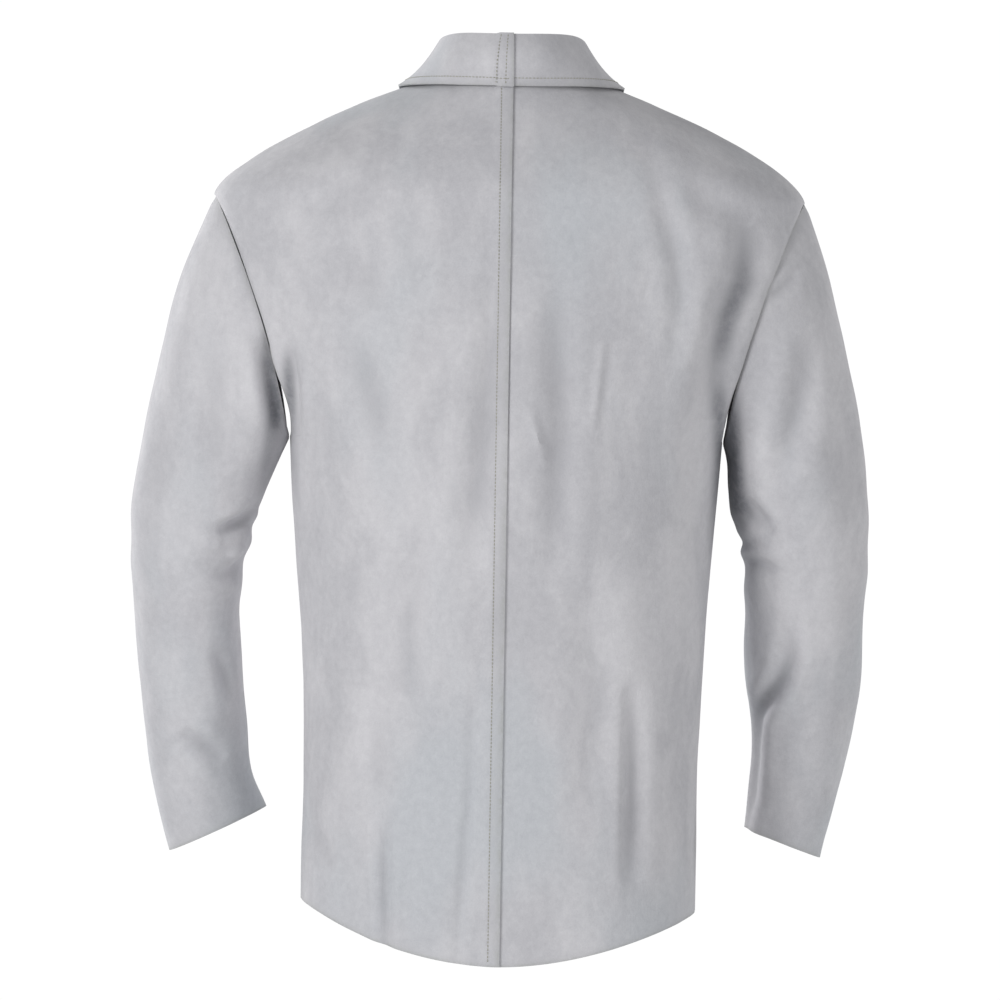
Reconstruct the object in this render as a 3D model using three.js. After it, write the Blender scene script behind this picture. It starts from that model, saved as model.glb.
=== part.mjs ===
// A leather welding jacket: cut panels of split leather, one-piece sleeves, a turn-down collar on a stand,
// and a front that laps left over right and closes with five snap fasteners.
// Millimetres, +Z up. The front faces -Y and the wearer's left is +X. The origin is under the middle of the
// jacket, level with the lowest point of the hem, which is at the centre of the back.
import * as THREE from "three";
import { mergeVertices } from "three/addons/utils/BufferGeometryUtils.js";

// ---------- Driving dimensions ----------

// Sheets and the room between them
const LEATHER = 1.6; // body, sleeves and collar
const LINING_LEATHER = 1.2; // facings, pocket and cuff facings
const TAPE = 0.9; // neck tape, loop and label
const LAYER_GAP = 0.6; // between sheets that lie on each other
const SEAM_GAP = 0.5; // between the cut edges of neighbouring panels
const TURNED_SEAM_CLEARANCE = 0.8; // beyond one thickness, where two sheets turn away from each other

// Heights
const BACK_LENGTH = 757; // hem to collar seam at the centre of the back
const SHOULDER_DROP = 99; // collar seam down to the shoulder tip
const ARMHOLE_HEIGHT = 208; // shoulder tip down to the underarm
const WAIST_BELOW_UNDERARM = 235;
const HEM_RISE_AT_SIDE = 43; // the hem curves up at the side seams
const HEM_RISE_AT_FRONT = 20;
const HEM_CURVE = 1.6;
const HEM_CURVE_REACH = 250; // height over which the hem's curve fades out of the body
const NECK_DROP_AT_FRONT = 58;
const NECK_CURVE = 1.4;
const NECK_CURVE_FROM = 0.45; // cosine of the turn where the drop begins below the shoulders

// Half sizes of the body
const HEM_HALF_WIDTH = 171;
const HEM_HALF_DEPTH = 128;
const WAIST_HALF_WIDTH = 172;
const WAIST_HALF_DEPTH = 122;
const UNDERARM_HALF_WIDTH = 187;
const CHEST_HALF_DEPTH = 132;
const SHOULDER_HALF_WIDTH = 256;
const SHOULDER_HALF_DEPTH = 118;
const NECK_HALF_WIDTH = 84;
const NECK_HALF_DEPTH = 75;
const NECK_FORWARD = 10; // the neck sits forward of the body's middle
const BODY_SQUARENESS = 2.3; // exponent of the body's outline: 2 is an ellipse
const SHOULDER_CURVE = 1.5; // exponent of the shoulder line
const ARMHOLE_HALF_DEPTH = 62;
const ARMHOLE_BOW = 8; // the armhole seam curves in towards the spine

// Front
const FLAP_EDGE_AT_HEM = 115; // where a front folds open, measured from the centre
const FLAP_EDGE_AT_NECK = 45;
const FRONT_LAP = 22; // each front runs this far past the centre
const FACING_WIDTH = 30; // from the centre, away from the edge of the front
const FACING_INSET = 3; // from the edge of the front
const LAP_FLAT_BEYOND_FACING = 4; // the right front lies at its full depth as far out as this
const LAP_SLOPE = 28; // width over which it comes up from there to the surface of the body

// Snap fasteners
const SNAP_COUNT = 5;
const LOWEST_SNAP = 85;
const HIGHEST_SNAP = 672;
const CAP_RADIUS = 7.5;
const CAP_HEIGHT = 2.2;
const SOCKET_RADIUS = 6;
const STUD_CLEARANCE = 0.9; // between a stud's neck and the hole of its socket
const SOCKET_HEIGHT = 2;
const STUD_RADIUS = 5.5;
const STUD_BASE = 0.8;
const STUD_NECK_RADIUS = 2.4;
const STUD_HEIGHT = 2.2;
const CAP_RIM_HEIGHT = 0.7;
const CAP_TOP_RADIUS = 5.2;
const POST_RADIUS = 5;
const POST_HEIGHT = 0.8;
const SNAP_CLEARANCE = 0.6; // between a closed socket and its stud's base

// Collar
const STAND_HEIGHT = 42;
const ROLL_SET_IN_AT_SIDE = 19; // the line where the collar turns over is this far inside the neck seam
const ROLL_SET_IN_AT_BACK = 5;
const ROLL_FORWARD = 6;
const ROLL_DROP_BEYOND_NECK = 16; // extra drop of that line at the front
const ROLL_CURVE = 1.7;
const FALL_CLEARANCE = 1; // more than one thickness, between the stand and the fall at the roll
const FALL_LIFT = 6; // the fall's edge stands off the shoulders
const FALL_BULGE = 8; // roundness of the fall over the roll
const FALL_EDGE_BELOW_SEAM = 4; // at the back
const FALL_EDGE_DROP_AT_SIDE = 8; // extra drop of the edge on the shoulders
const FALL_EDGE_DROP_AT_FRONT = 62; // and towards the points
const FALL_EDGE_CURVE = 3;
const STAND_FRONT_FROM_CENTRE = 5;
const FALL_TURN = 40; // degrees each side of the spine that turn up freely
const FALL_FRONT_AT_ROLL = 14; // start of a collar point from the centre front
const FALL_FRONT_AT_EDGE = 58;
const COLLAR_SPLIT_INSIDE_FOLD = 0.5; // a collar point starts this far inside the line where its front folds

// Inside
const TAPE_HEIGHT = 18;
const TAPE_SHORT_OF_NECK = 6; // each end of the tape stops this far inside the neck's width
const LABEL_HEIGHT = 38;
const LABEL_HALF_WIDTH = 30;
const LABEL_BELOW_TAPE = 8;
const LOOP_HALF_WIDTH = 34;
const LOOP_BOW = 12;
const LOOP_WIDTH = 8;
const POCKET_FROM = 103; // degrees from the spine
const POCKET_TO = 140;
const POCKET_BOTTOM = 190;
const POCKET_HEIGHT = 150;
const POCKET_BULGE = 10;

// Sleeves. Each station is a ring of the sleeve: how far its centre is below, beyond and in front of the
// middle of the armhole, its half sizes, the share of the armhole's slant that is left in it, and how much
// higher its outer side is than its centre besides.
const ELBOW_STATION = 5;
const ELBOW_SOFT = 1; // stations each side of the elbow that bend
const RING_GAP = 0.01; // stations between neighbouring parts of a sleeve
const CUFF_FACING_FROM = 0.05; // stations
const CUFF_FACING_TO = 0.9;
const SLEEVE_SEAM_TURN = 0.7; // degrees from the inner seam to each cut edge
const LEFT_SLEEVE = [
  { below: 43, beyond: 17.5, forward: 3, halfWidth: 44.5, halfDepth: 62, slant: 0.76, rise: 0 },
  { below: 87, beyond: 30.5, forward: 8, halfWidth: 48, halfDepth: 60, slant: 0.548, rise: 0 },
  { below: 129, beyond: 40.5, forward: 14, halfWidth: 51.5, halfDepth: 58, slant: 0.317, rise: 0 },
  { below: 168, beyond: 48.5, forward: 22, halfWidth: 54, halfDepth: 56, slant: 0.106, rise: 0 },
  { below: 209, beyond: 52.5, forward: 30, halfWidth: 50, halfDepth: 53, slant: 0, rise: 0 },
  { below: 254, beyond: 54, forward: 42, halfWidth: 46, halfDepth: 50, slant: 0, rise: 0 },
  { below: 304, beyond: 51.5, forward: 56, halfWidth: 45.5, halfDepth: 49, slant: 0, rise: 0 },
  { below: 354, beyond: 46.5, forward: 70, halfWidth: 45, halfDepth: 47, slant: 0, rise: -2 },
  { below: 404, beyond: 39.5, forward: 84, halfWidth: 43, halfDepth: 45, slant: 0, rise: -8 },
  { below: 451, beyond: 25, forward: 96, halfWidth: 42, halfDepth: 43, slant: 0, rise: -20 },
];
const RIGHT_SLEEVE = [
  { below: 43, beyond: 13.5, forward: 3, halfWidth: 44, halfDepth: 62, slant: 0.76, rise: 0 },
  { below: 87, beyond: 22.5, forward: 8, halfWidth: 52, halfDepth: 61, slant: 0.548, rise: 0 },
  { below: 131, beyond: 30.5, forward: 14, halfWidth: 57, halfDepth: 60, slant: 0.346, rise: 0 },
  { below: 171, beyond: 37.5, forward: 22, halfWidth: 56, halfDepth: 58, slant: 0.154, rise: 0 },
  { below: 209, beyond: 40, forward: 30, halfWidth: 54.5, halfDepth: 55, slant: 0, rise: 0 },
  { below: 254, beyond: 41, forward: 42, halfWidth: 52, halfDepth: 53, slant: 0, rise: 0 },
  { below: 304, beyond: 41.5, forward: 56, halfWidth: 50.5, halfDepth: 51, slant: 0, rise: 0 },
  { below: 354, beyond: 41.5, forward: 70, halfWidth: 43.5, halfDepth: 47, slant: 0, rise: -2 },
  { below: 404, beyond: 35.5, forward: 84, halfWidth: 39, halfDepth: 43, slant: 0, rise: -5 },
  { below: 456, beyond: 27, forward: 98, halfWidth: 34, halfDepth: 38, slant: 0, rise: -13 },
];

// Facets
const ARMHOLE_STEPS = 9; // rows from the underarm to the shoulder tip
const HEM_STEPS = 8; // rows from the hem to the underarm
const SHOULDER_STEPS = 8; // rows from the shoulder tip to the neck
const ACROSS = {
  back: 9,
  frontSide: 8,
  flap: 7,
  facing: 3,
  pocket: 8,
  tape: 12,
  label: 6,
  loop: 16,
  stand: 20,
  standFront: 4,
  collarFall: 5,
  collarSide: 10,
  collarPoint: 3,
};
const ROWS = {
  pocket: 6,
  tape: 2,
  label: 3,
  stand: 3,
  fall: 4,
  sleeveUpper: 7,
  elbow: 3,
  forearm: 5,
  cuffFacing: 2,
};
const SNAP_SIDES = 10;
const NORMAL_STEP = 0.02; // in degrees, levels or stations

// ---------- Sizes that follow ----------

const LEFT = 1;
const RIGHT = -1;
const SHOULDER_Z = BACK_LENGTH - SHOULDER_DROP;
const UNDERARM_Z = SHOULDER_Z - ARMHOLE_HEIGHT;
const WAIST_Z = UNDERARM_Z - WAIST_BELOW_UNDERARM;
const ARMHOLE_MIDDLE_Z = SHOULDER_Z - ARMHOLE_HEIGHT / 2;
const ARMHOLE_MIDDLE_X = (SHOULDER_HALF_WIDTH + UNDERARM_HALF_WIDTH) / 2;
const ROLL_Z = BACK_LENGTH + STAND_HEIGHT;
const ROLL_HALF_WIDTH = NECK_HALF_WIDTH - ROLL_SET_IN_AT_SIDE;
const ROLL_HALF_DEPTH = NECK_HALF_DEPTH - ROLL_SET_IN_AT_BACK;
const ROLL_DROP_AT_FRONT = NECK_DROP_AT_FRONT + ROLL_DROP_BEYOND_NECK;
const TURNED_SEAM_GAP = LEATHER + TURNED_SEAM_CLEARANCE;
const TAPE_HALF_WIDTH = NECK_HALF_WIDTH - TAPE_SHORT_OF_NECK;
const COLLAR_SPLIT = 180 - THREE.MathUtils.radToDeg(
  Math.asin((FLAP_EDGE_AT_NECK - COLLAR_SPLIT_INSIDE_FOLD) / NECK_HALF_WIDTH),
); // degrees from the spine to the part of the collar that goes with a front
const LAP_SET_IN_TO = FACING_WIDTH + LAP_FLAT_BEYOND_FACING;
const LAP_SET_IN_FROM = LAP_SET_IN_TO + LAP_SLOPE;
const SOCKET_HOLE = STUD_NECK_RADIUS + STUD_CLEARANCE;
const INSIDE_FACE = -LEATHER - LAYER_GAP; // first sheet that lies inside the leather
const SOCKET_TOP = INSIDE_FACE - LINING_LEATHER - LAYER_GAP;
const LAP_DEPTH = -SOCKET_TOP + SOCKET_HEIGHT + SNAP_CLEARANCE + STUD_BASE + LAYER_GAP;

const { degToRad, radToDeg, lerp, smoothstep } = THREE.MathUtils;

/** A smooth value through a list of { at, value } knots, in rising order of at. */
function through(knots, at) {
  const last = knots.length - 1;
  let index = 0;
  while (index < last - 1 && at > knots[index + 1].at) index += 1;
  const from = knots[index];
  const to = knots[index + 1];
  const before = knots[Math.max(index - 1, 0)];
  const after = knots[Math.min(index + 2, last)];
  const span = to.at - from.at;
  const leave = ((to.value - before.value) / (to.at - before.at)) * span;
  const arrive = ((after.value - from.value) / (after.at - from.at)) * span;
  const t = THREE.MathUtils.clamp((at - from.at) / span, 0, 1);
  const t2 = t * t;
  const t3 = t2 * t;
  return (
    (2 * t3 - 3 * t2 + 1) * from.value +
    (t3 - 2 * t2 + t) * leave +
    (3 * t2 - 2 * t3) * to.value +
    (t3 - t2) * arrive
  );
}

// ---------- The body's surface ----------

/** Half depth of the body at a level. */
function bodyHalfDepth(level) {
  if (level > SHOULDER_Z) {
    const up = ((level - SHOULDER_Z) / SHOULDER_DROP) ** SHOULDER_CURVE;
    return lerp(SHOULDER_HALF_DEPTH, NECK_HALF_DEPTH, up);
  }
  const knots = [
    { at: 0, value: HEM_HALF_DEPTH },
    { at: WAIST_Z, value: WAIST_HALF_DEPTH },
    { at: UNDERARM_Z, value: CHEST_HALF_DEPTH },
    { at: SHOULDER_Z, value: SHOULDER_HALF_DEPTH },
  ];
  return through(knots, level);
}

/** Exponent of the body's outline at a level: it rounds off to an ellipse at the neck. */
function squareness(level) {
  return lerp(BODY_SQUARENESS, 2, smoothstep(level, UNDERARM_Z, BACK_LENGTH));
}

/** Point on the left armhole seam: 0 is the shoulder tip, 90 the back, 180 the underarm. */
function armhole(angle) {
  const t = Math.cos(degToRad(angle));
  const s = Math.sin(degToRad(angle));
  const half = (SHOULDER_HALF_WIDTH - UNDERARM_HALF_WIDTH) / 2;
  return new THREE.Vector3(
    ARMHOLE_MIDDLE_X + half * t - ARMHOLE_BOW * s * s,
    ARMHOLE_HALF_DEPTH * s,
    ARMHOLE_MIDDLE_Z + (ARMHOLE_HEIGHT / 2) * t,
  );
}

/** Whether a level passes through the armholes, and where the seam is there. */
function armholeAtLevel(level) {
  const t = (level - ARMHOLE_MIDDLE_Z) / (ARMHOLE_HEIGHT / 2);
  if (Math.abs(t) >= 1) return null;
  return armhole(radToDeg(Math.acos(t)));
}

/** Half width of the body at a level, as if its outline closed over the armholes. */
function bodyHalfWidth(level) {
  if (level >= SHOULDER_Z) {
    const up = ((level - SHOULDER_Z) / SHOULDER_DROP) ** SHOULDER_CURVE;
    return lerp(SHOULDER_HALF_WIDTH, NECK_HALF_WIDTH, up);
  }
  const seam = armholeAtLevel(level);
  if (seam) {
    const power = squareness(level);
    return seam.x / (1 - (seam.y / bodyHalfDepth(level)) ** power) ** (1 / power);
  }
  const knots = [
    { at: 0, value: HEM_HALF_WIDTH },
    { at: WAIST_Z, value: WAIST_HALF_WIDTH },
    { at: UNDERARM_Z, value: UNDERARM_HALF_WIDTH },
  ];
  return through(knots, level);
}

/** Degrees from the spine, or from the centre front, at which the outline is this far from the middle. */
function turnAt(distance, level) {
  const share = Math.min(distance / bodyHalfWidth(level), 1);
  return radToDeg(Math.asin(share ** (squareness(level) / 2)));
}

/** How far up the hem's curve lifts a point of the body. */
function hemRise(turn, level) {
  const side = Math.abs(Math.sin(degToRad(turn))) ** HEM_CURVE;
  const middle = Math.cos(degToRad(turn)) < 0 ? HEM_RISE_AT_FRONT : 0;
  return lerp(middle, HEM_RISE_AT_SIDE, side) * Math.max(0, 1 - level / HEM_CURVE_REACH);
}

/** How far down the neckline's curve takes a point of the front. */
function neckDrop(turn, level) {
  const from = lerp(NECK_CURVE_FROM, 0, smoothstep(level, SHOULDER_Z, BACK_LENGTH));
  const front = Math.max(0, (-Math.cos(degToRad(turn)) - from) / (1 - from));
  return NECK_DROP_AT_FRONT * front ** NECK_CURVE * smoothstep(level, ARMHOLE_MIDDLE_Z, BACK_LENGTH);
}

/** Point on the body. Turn is in degrees from the spine towards the wearer's right. */
function body(turn, level) {
  const s = Math.sin(degToRad(turn));
  const c = Math.cos(degToRad(turn));
  const power = 2 / squareness(level);
  const forward = NECK_FORWARD * smoothstep(level, SHOULDER_Z, BACK_LENGTH);
  return new THREE.Vector3(
    -bodyHalfWidth(level) * Math.sign(s) * Math.abs(s) ** power,
    bodyHalfDepth(level) * Math.sign(c) * Math.abs(c) ** power - forward,
    level + hemRise(turn, level) - neckDrop(turn, level),
  );
}

/** Unit normal of a surface, on the side where u turns into v anticlockwise. */
function normalOf(surface, u, v) {
  const along = surface(u + NORMAL_STEP, v).sub(surface(u - NORMAL_STEP, v));
  const up = surface(u, v + NORMAL_STEP).sub(surface(u, v - NORMAL_STEP));
  return along.cross(up).normalize();
}

/** A surface moved along its normal by a distance that may vary. */
function offset(surface, distance) {
  return (u, v) => {
    const by = typeof distance === "function" ? distance(u, v) : distance;
    return surface(u, v).addScaledVector(normalOf(surface, u, v), by);
  };
}

/** Evenly spaced values from one to another. */
function steps(from, to, count) {
  return Array.from({ length: count + 1 }, (_, i) => lerp(from, to, i / count));
}

/**
 * A sheet of even thickness on a surface, as one closed solid, with an edge along each of its rows of v. The
 * range of u may depend on v. The sheet's outer face is at the offset `outer` from the surface and its inner
 * face is one thickness below.
 */
function sheet(surface, { u, across, rows, thickness, outer = 0 }) {
  const last = rows.length - 1;
  const box = new THREE.BoxGeometry(1, 1, 1, across, last, 1);
  box.deleteAttribute("normal");
  box.deleteAttribute("uv");
  const geometry = mergeVertices(box);
  const position = geometry.attributes.position;
  for (let i = 0; i < position.count; i += 1) {
    const vAt = rows[Math.round((position.getY(i) + 0.5) * last)];
    const range = typeof u === "function" ? u(vAt) : u;
    const uAt = lerp(range[0], range[1], position.getX(i) + 0.5);
    const depth = outer - thickness * (0.5 - position.getZ(i));
    const point = surface(uAt, vAt).addScaledVector(normalOf(surface, uAt, vAt), depth);
    position.setXYZ(i, point.x, point.y, point.z);
  }
  geometry.computeVertexNormals();
  return geometry;
}

/** The range of turn of a panel on one side, from its two distances round from the spine. */
function onSide(side, near, far) {
  return side === LEFT ? [-far, -near] : [near, far];
}

// ---------- Materials and assembly ----------

const suede = new THREE.MeshStandardMaterial({ color: 0xbebdc2, roughness: 0.92, metalness: 0 });
const suedeDark = new THREE.MeshStandardMaterial({ color: 0xa9a8ad, roughness: 0.94, metalness: 0 });
const tapeCloth = new THREE.MeshStandardMaterial({ color: 0x54565c, roughness: 0.95, metalness: 0 });
const labelCloth = new THREE.MeshStandardMaterial({ color: 0xd8d6cf, roughness: 0.9, metalness: 0 });
const snapMetal = new THREE.MeshStandardMaterial({ color: 0x8f8d88, roughness: 0.35, metalness: 1 });

const jacket = new THREE.Group();

/** Adds a named piece to the jacket. */
function add(name, geometry, material) {
  const mesh = new THREE.Mesh(geometry, material);
  mesh.name = name;
  jacket.add(mesh);
  return mesh;
}

/** Name of a piece of a pair. */
function named(name, side) {
  return `${name}_${side === LEFT ? "left" : "right"}`;
}

/** Half of the seam gap, as a turn round the body. */
const SEAM_TURN = radToDeg(SEAM_GAP / 2 / NECK_HALF_DEPTH);

// ---------- Body panels ----------

/** Turn of the edge of a body panel: the side seam, the armhole seam or the shoulder seam. */
function sideEdge(level) {
  const seam = armholeAtLevel(level);
  return seam ? turnAt(seam.x, level) : 90;
}

/** Distance from the centre at which a front folds open, at a level. */
function flapEdge(level) {
  return lerp(FLAP_EDGE_AT_HEM, FLAP_EDGE_AT_NECK, level / BACK_LENGTH);
}

/** How far the right front lies behind the surface of the body. */
function lapSetIn(turn, level) {
  const fromCentre = Math.abs(body(turn, level).x);
  const acrossCentre = Math.abs(turn) > 180;
  const share = acrossCentre ? 1 : 1 - smoothstep(fromCentre, LAP_SET_IN_TO, LAP_SET_IN_FROM);
  return -LAP_DEPTH * share;
}

const setIn = offset(body, lapSetIn);
const frontSurface = { [LEFT]: body, [RIGHT]: setIn };

const armholeRows = steps(180, 0, ARMHOLE_STEPS).map((angle) => armhole(angle).z);
const bodyRows = [
  ...steps(0, UNDERARM_Z, HEM_STEPS),
  ...armholeRows.slice(1, -1),
  ...steps(SHOULDER_Z, BACK_LENGTH, SHOULDER_STEPS),
];
const facingRows = [FACING_INSET, ...bodyRows.slice(1, -1), BACK_LENGTH - FACING_INSET];

for (const side of [LEFT, RIGHT]) {
  const back = sheet(body, {
    u: (level) => onSide(side, SEAM_TURN, sideEdge(level) - SEAM_TURN),
    across: ACROSS.back,
    rows: bodyRows,
    thickness: LEATHER,
  });
  add(named("back_panel", side), back, suede);
  const frontSide = sheet(body, {
    u: (level) =>
      onSide(side, 180 - sideEdge(level) + SEAM_TURN, 180 - turnAt(flapEdge(level), level) - SEAM_TURN),
    across: ACROSS.frontSide,
    rows: bodyRows,
    thickness: LEATHER,
  });
  add(named("front_side", side), frontSide, suede);
  const flap = sheet(frontSurface[side], {
    u: (level) =>
      onSide(side, 180 - turnAt(flapEdge(level), level) + SEAM_TURN, 180 + turnAt(FRONT_LAP, level)),
    across: ACROSS.flap,
    rows: bodyRows,
    thickness: LEATHER,
  });
  add(named("front_flap", side), flap, suede);
  const facing = sheet(frontSurface[side], {
    u: (level) =>
      onSide(side, 180 - turnAt(FACING_WIDTH, level), 180 + turnAt(FRONT_LAP - FACING_INSET, level)),
    across: ACROSS.facing,
    rows: facingRows,
    thickness: LINING_LEATHER,
    outer: INSIDE_FACE,
  });
  add(named("front_facing", side), facing, suedeDark);
}

// ---------- Inside pocket, label, tape and hanging loop ----------

/** Depth of the pocket behind the front: closed at its sides and bottom, open at its mouth. */
function pocketDepth(turn, level) {
  const across = (2 * (-turn - POCKET_FROM)) / (POCKET_TO - POCKET_FROM) - 1;
  const up = (level - POCKET_BOTTOM) / POCKET_HEIGHT;
  return INSIDE_FACE - POCKET_BULGE * (1 - across ** 4) * (1 - (1 - up) ** 4);
}

const pocket = sheet(offset(body, pocketDepth), {
  u: onSide(LEFT, POCKET_FROM, POCKET_TO),
  across: ACROSS.pocket,
  rows: steps(POCKET_BOTTOM, POCKET_BOTTOM + POCKET_HEIGHT, ROWS.pocket),
  thickness: LINING_LEATHER,
});
add("inside_pocket", pocket, suedeDark);

const tapeTop = BACK_LENGTH - LAYER_GAP;
const tapeBottom = tapeTop - TAPE_HEIGHT;
const neckTape = sheet(body, {
  u: (level) => [-turnAt(TAPE_HALF_WIDTH, level), turnAt(TAPE_HALF_WIDTH, level)],
  across: ACROSS.tape,
  rows: steps(tapeBottom, tapeTop, ROWS.tape),
  thickness: TAPE,
  outer: INSIDE_FACE,
});
add("neck_tape", neckTape, tapeCloth);

const labelTop = tapeBottom - LABEL_BELOW_TAPE;
const label = sheet(body, {
  u: (level) => [-turnAt(LABEL_HALF_WIDTH, level), turnAt(LABEL_HALF_WIDTH, level)],
  across: ACROSS.label,
  rows: steps(labelTop - LABEL_HEIGHT, labelTop, ROWS.label),
  thickness: TAPE,
  outer: INSIDE_FACE,
});
add("blank_label", label, labelCloth);

const loopFace = INSIDE_FACE - TAPE - LAYER_GAP;
const loopMiddle = (tapeBottom + tapeTop) / 2;
const loopTurn = turnAt(LOOP_HALF_WIDTH, loopMiddle);
const loop = sheet(
  offset(body, (turn) => loopFace - LOOP_BOW * (1 - (turn / loopTurn) ** 4)),
  {
    u: [-loopTurn, loopTurn],
    across: ACROSS.loop,
    rows: [loopMiddle - LOOP_WIDTH / 2, loopMiddle + LOOP_WIDTH / 2],
    thickness: TAPE,
  },
);
add("hanger_loop", loop, tapeCloth);

// ---------- Snap fasteners ----------

/** Lathed disc from a profile of [radius, height] points, its axis on +Z. */
function turned(profile) {
  const points = profile.map(([radius, height]) => new THREE.Vector2(radius, height));
  const geometry = new THREE.LatheGeometry(points, SNAP_SIDES);
  geometry.rotateX(Math.PI / 2);
  geometry.deleteAttribute("uv");
  geometry.deleteAttribute("normal");
  return mergeVertices(geometry);
}

const snapShapes = {
  cap: turned([
    [0, 0],
    [CAP_RADIUS, 0],
    [CAP_RADIUS, CAP_RIM_HEIGHT],
    [CAP_TOP_RADIUS, CAP_HEIGHT],
    [0, CAP_HEIGHT],
  ]),
  socket: turned([
    [SOCKET_HOLE, 0],
    [SOCKET_RADIUS, 0],
    [SOCKET_RADIUS, SOCKET_HEIGHT],
    [SOCKET_HOLE, SOCKET_HEIGHT],
    [SOCKET_HOLE, 0],
  ]),
  stud: turned([
    [0, 0],
    [STUD_RADIUS, 0],
    [STUD_RADIUS, STUD_BASE],
    [STUD_NECK_RADIUS, STUD_BASE],
    [STUD_NECK_RADIUS, STUD_HEIGHT],
    [0, STUD_HEIGHT],
  ]),
  post: turned([
    [0, 0],
    [POST_RADIUS, 0],
    [POST_RADIUS, POST_HEIGHT],
    [0, POST_HEIGHT],
  ]),
};
const snapDepths = {
  cap: LAYER_GAP,
  socket: SOCKET_TOP - SOCKET_HEIGHT,
  stud: -LAP_DEPTH + LAYER_GAP,
  post: -LAP_DEPTH + SOCKET_TOP - POST_HEIGHT,
};

for (let i = 0; i < SNAP_COUNT; i += 1) {
  const level = lerp(LOWEST_SNAP, HIGHEST_SNAP, i / (SNAP_COUNT - 1));
  const place = body(180, level);
  const out = normalOf(body, 180, level);
  for (const [part, depth] of Object.entries(snapDepths)) {
    const snap = add(`snap_${part}_${i + 1}`, snapShapes[part], snapMetal);
    snap.position.copy(place).addScaledVector(out, depth);
    snap.quaternion.setFromUnitVectors(new THREE.Vector3(0, 0, 1), out);
  }
}

// ---------- Collar ----------

/** Point on the line where the collar turns over. */
function roll(turn) {
  const c = Math.cos(degToRad(turn));
  return new THREE.Vector3(
    -ROLL_HALF_WIDTH * Math.sin(degToRad(turn)),
    ROLL_HALF_DEPTH * c - ROLL_FORWARD,
    ROLL_Z - ROLL_DROP_AT_FRONT * ((1 - c) / 2) ** ROLL_CURVE,
  );
}

/** The stand: from the neck seam, at 0, to the roll, at 1. */
function standOn(neck) {
  return (turn, up) => neck(turn, BACK_LENGTH).lerp(roll(turn), up);
}

const stand = standOn(body);

/** The outside of the body, lifted clear for the fall to lie on. */
const overBody = offset(body, FALL_LIFT);

/** The fall: from its edge, at 0, up to the roll, at 1. */
function fall(turn, up) {
  const front = Math.max(0, -Math.cos(degToRad(turn))) ** FALL_EDGE_CURVE;
  const side = Math.sin(degToRad(turn)) ** 2;
  const drop = FALL_EDGE_BELOW_SEAM + FALL_EDGE_DROP_AT_SIDE * side + FALL_EDGE_DROP_AT_FRONT * front;
  const edge = overBody(turn, BACK_LENGTH - drop);
  const top = roll(turn).addScaledVector(normalOf(stand, turn, 1), FALL_CLEARANCE + LEATHER);
  const bulge = FALL_BULGE * Math.sin(Math.PI * up);
  return edge.lerp(top, up).addScaledVector(normalOf(stand, turn, 0.5), bulge);
}

const standRows = steps(TURNED_SEAM_GAP / STAND_HEIGHT, 1, ROWS.stand);
const standFrontTurn = radToDeg(Math.asin(STAND_FRONT_FROM_CENTRE / ROLL_HALF_WIDTH));
add(
  "collar_stand",
  sheet(stand, {
    u: [-COLLAR_SPLIT + 2 * SEAM_TURN, COLLAR_SPLIT - 2 * SEAM_TURN],
    across: ACROSS.stand,
    rows: standRows,
    thickness: LEATHER,
  }),
  suedeDark,
);
for (const side of [LEFT, RIGHT]) {
  add(
    named("collar_stand_front", side),
    sheet(standOn(frontSurface[side]), {
      u: onSide(side, COLLAR_SPLIT + 2 * SEAM_TURN, 180 - standFrontTurn),
      across: ACROSS.standFront,
      rows: standRows,
      thickness: LEATHER,
    }),
    suedeDark,
  );
  const pieces = [
    ["collar_fall", SEAM_TURN, () => FALL_TURN - SEAM_TURN, ACROSS.collarFall],
    ["collar_side", FALL_TURN + SEAM_TURN, () => COLLAR_SPLIT - 2 * SEAM_TURN, ACROSS.collarSide],
    ["collar_point", COLLAR_SPLIT + 2 * SEAM_TURN, pointEnd, ACROSS.collarPoint],
  ];
  for (const [name, near, far, across] of pieces) {
    const geometry = sheet(fall, {
      u: (up) => onSide(side, near, far(up)),
      across,
      rows: steps(0, 1, ROWS.fall),
      thickness: LEATHER,
    });
    add(named(name, side), geometry, suede);
  }
}

/** Turn of the front end of the fall, which slants back towards the collar point. */
function pointEnd(up) {
  const atRoll = radToDeg(Math.asin(FALL_FRONT_AT_ROLL / ROLL_HALF_WIDTH));
  const atEdge = turnAt(FALL_FRONT_AT_EDGE, BACK_LENGTH - FALL_EDGE_DROP_AT_FRONT);
  return 180 - lerp(atEdge, atRoll, up);
}

// ---------- Sleeves ----------

/** The rings of a sleeve as knots for each of its measures, from the armhole down to the cuff. */
function sleeveKnots(stations) {
  const head = {
    below: 0,
    beyond: TURNED_SEAM_GAP,
    forward: 0,
    halfWidth: (SHOULDER_HALF_WIDTH - UNDERARM_HALF_WIDTH) / 2,
    halfDepth: ARMHOLE_HALF_DEPTH,
    slant: 1,
    rise: 0,
  };
  const rings = [head, ...stations];
  const knots = {};
  for (const key of Object.keys(head)) {
    knots[key] = rings.map((ring, i) => ({ at: i, value: ring[key] }));
  }
  return knots;
}

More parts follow.
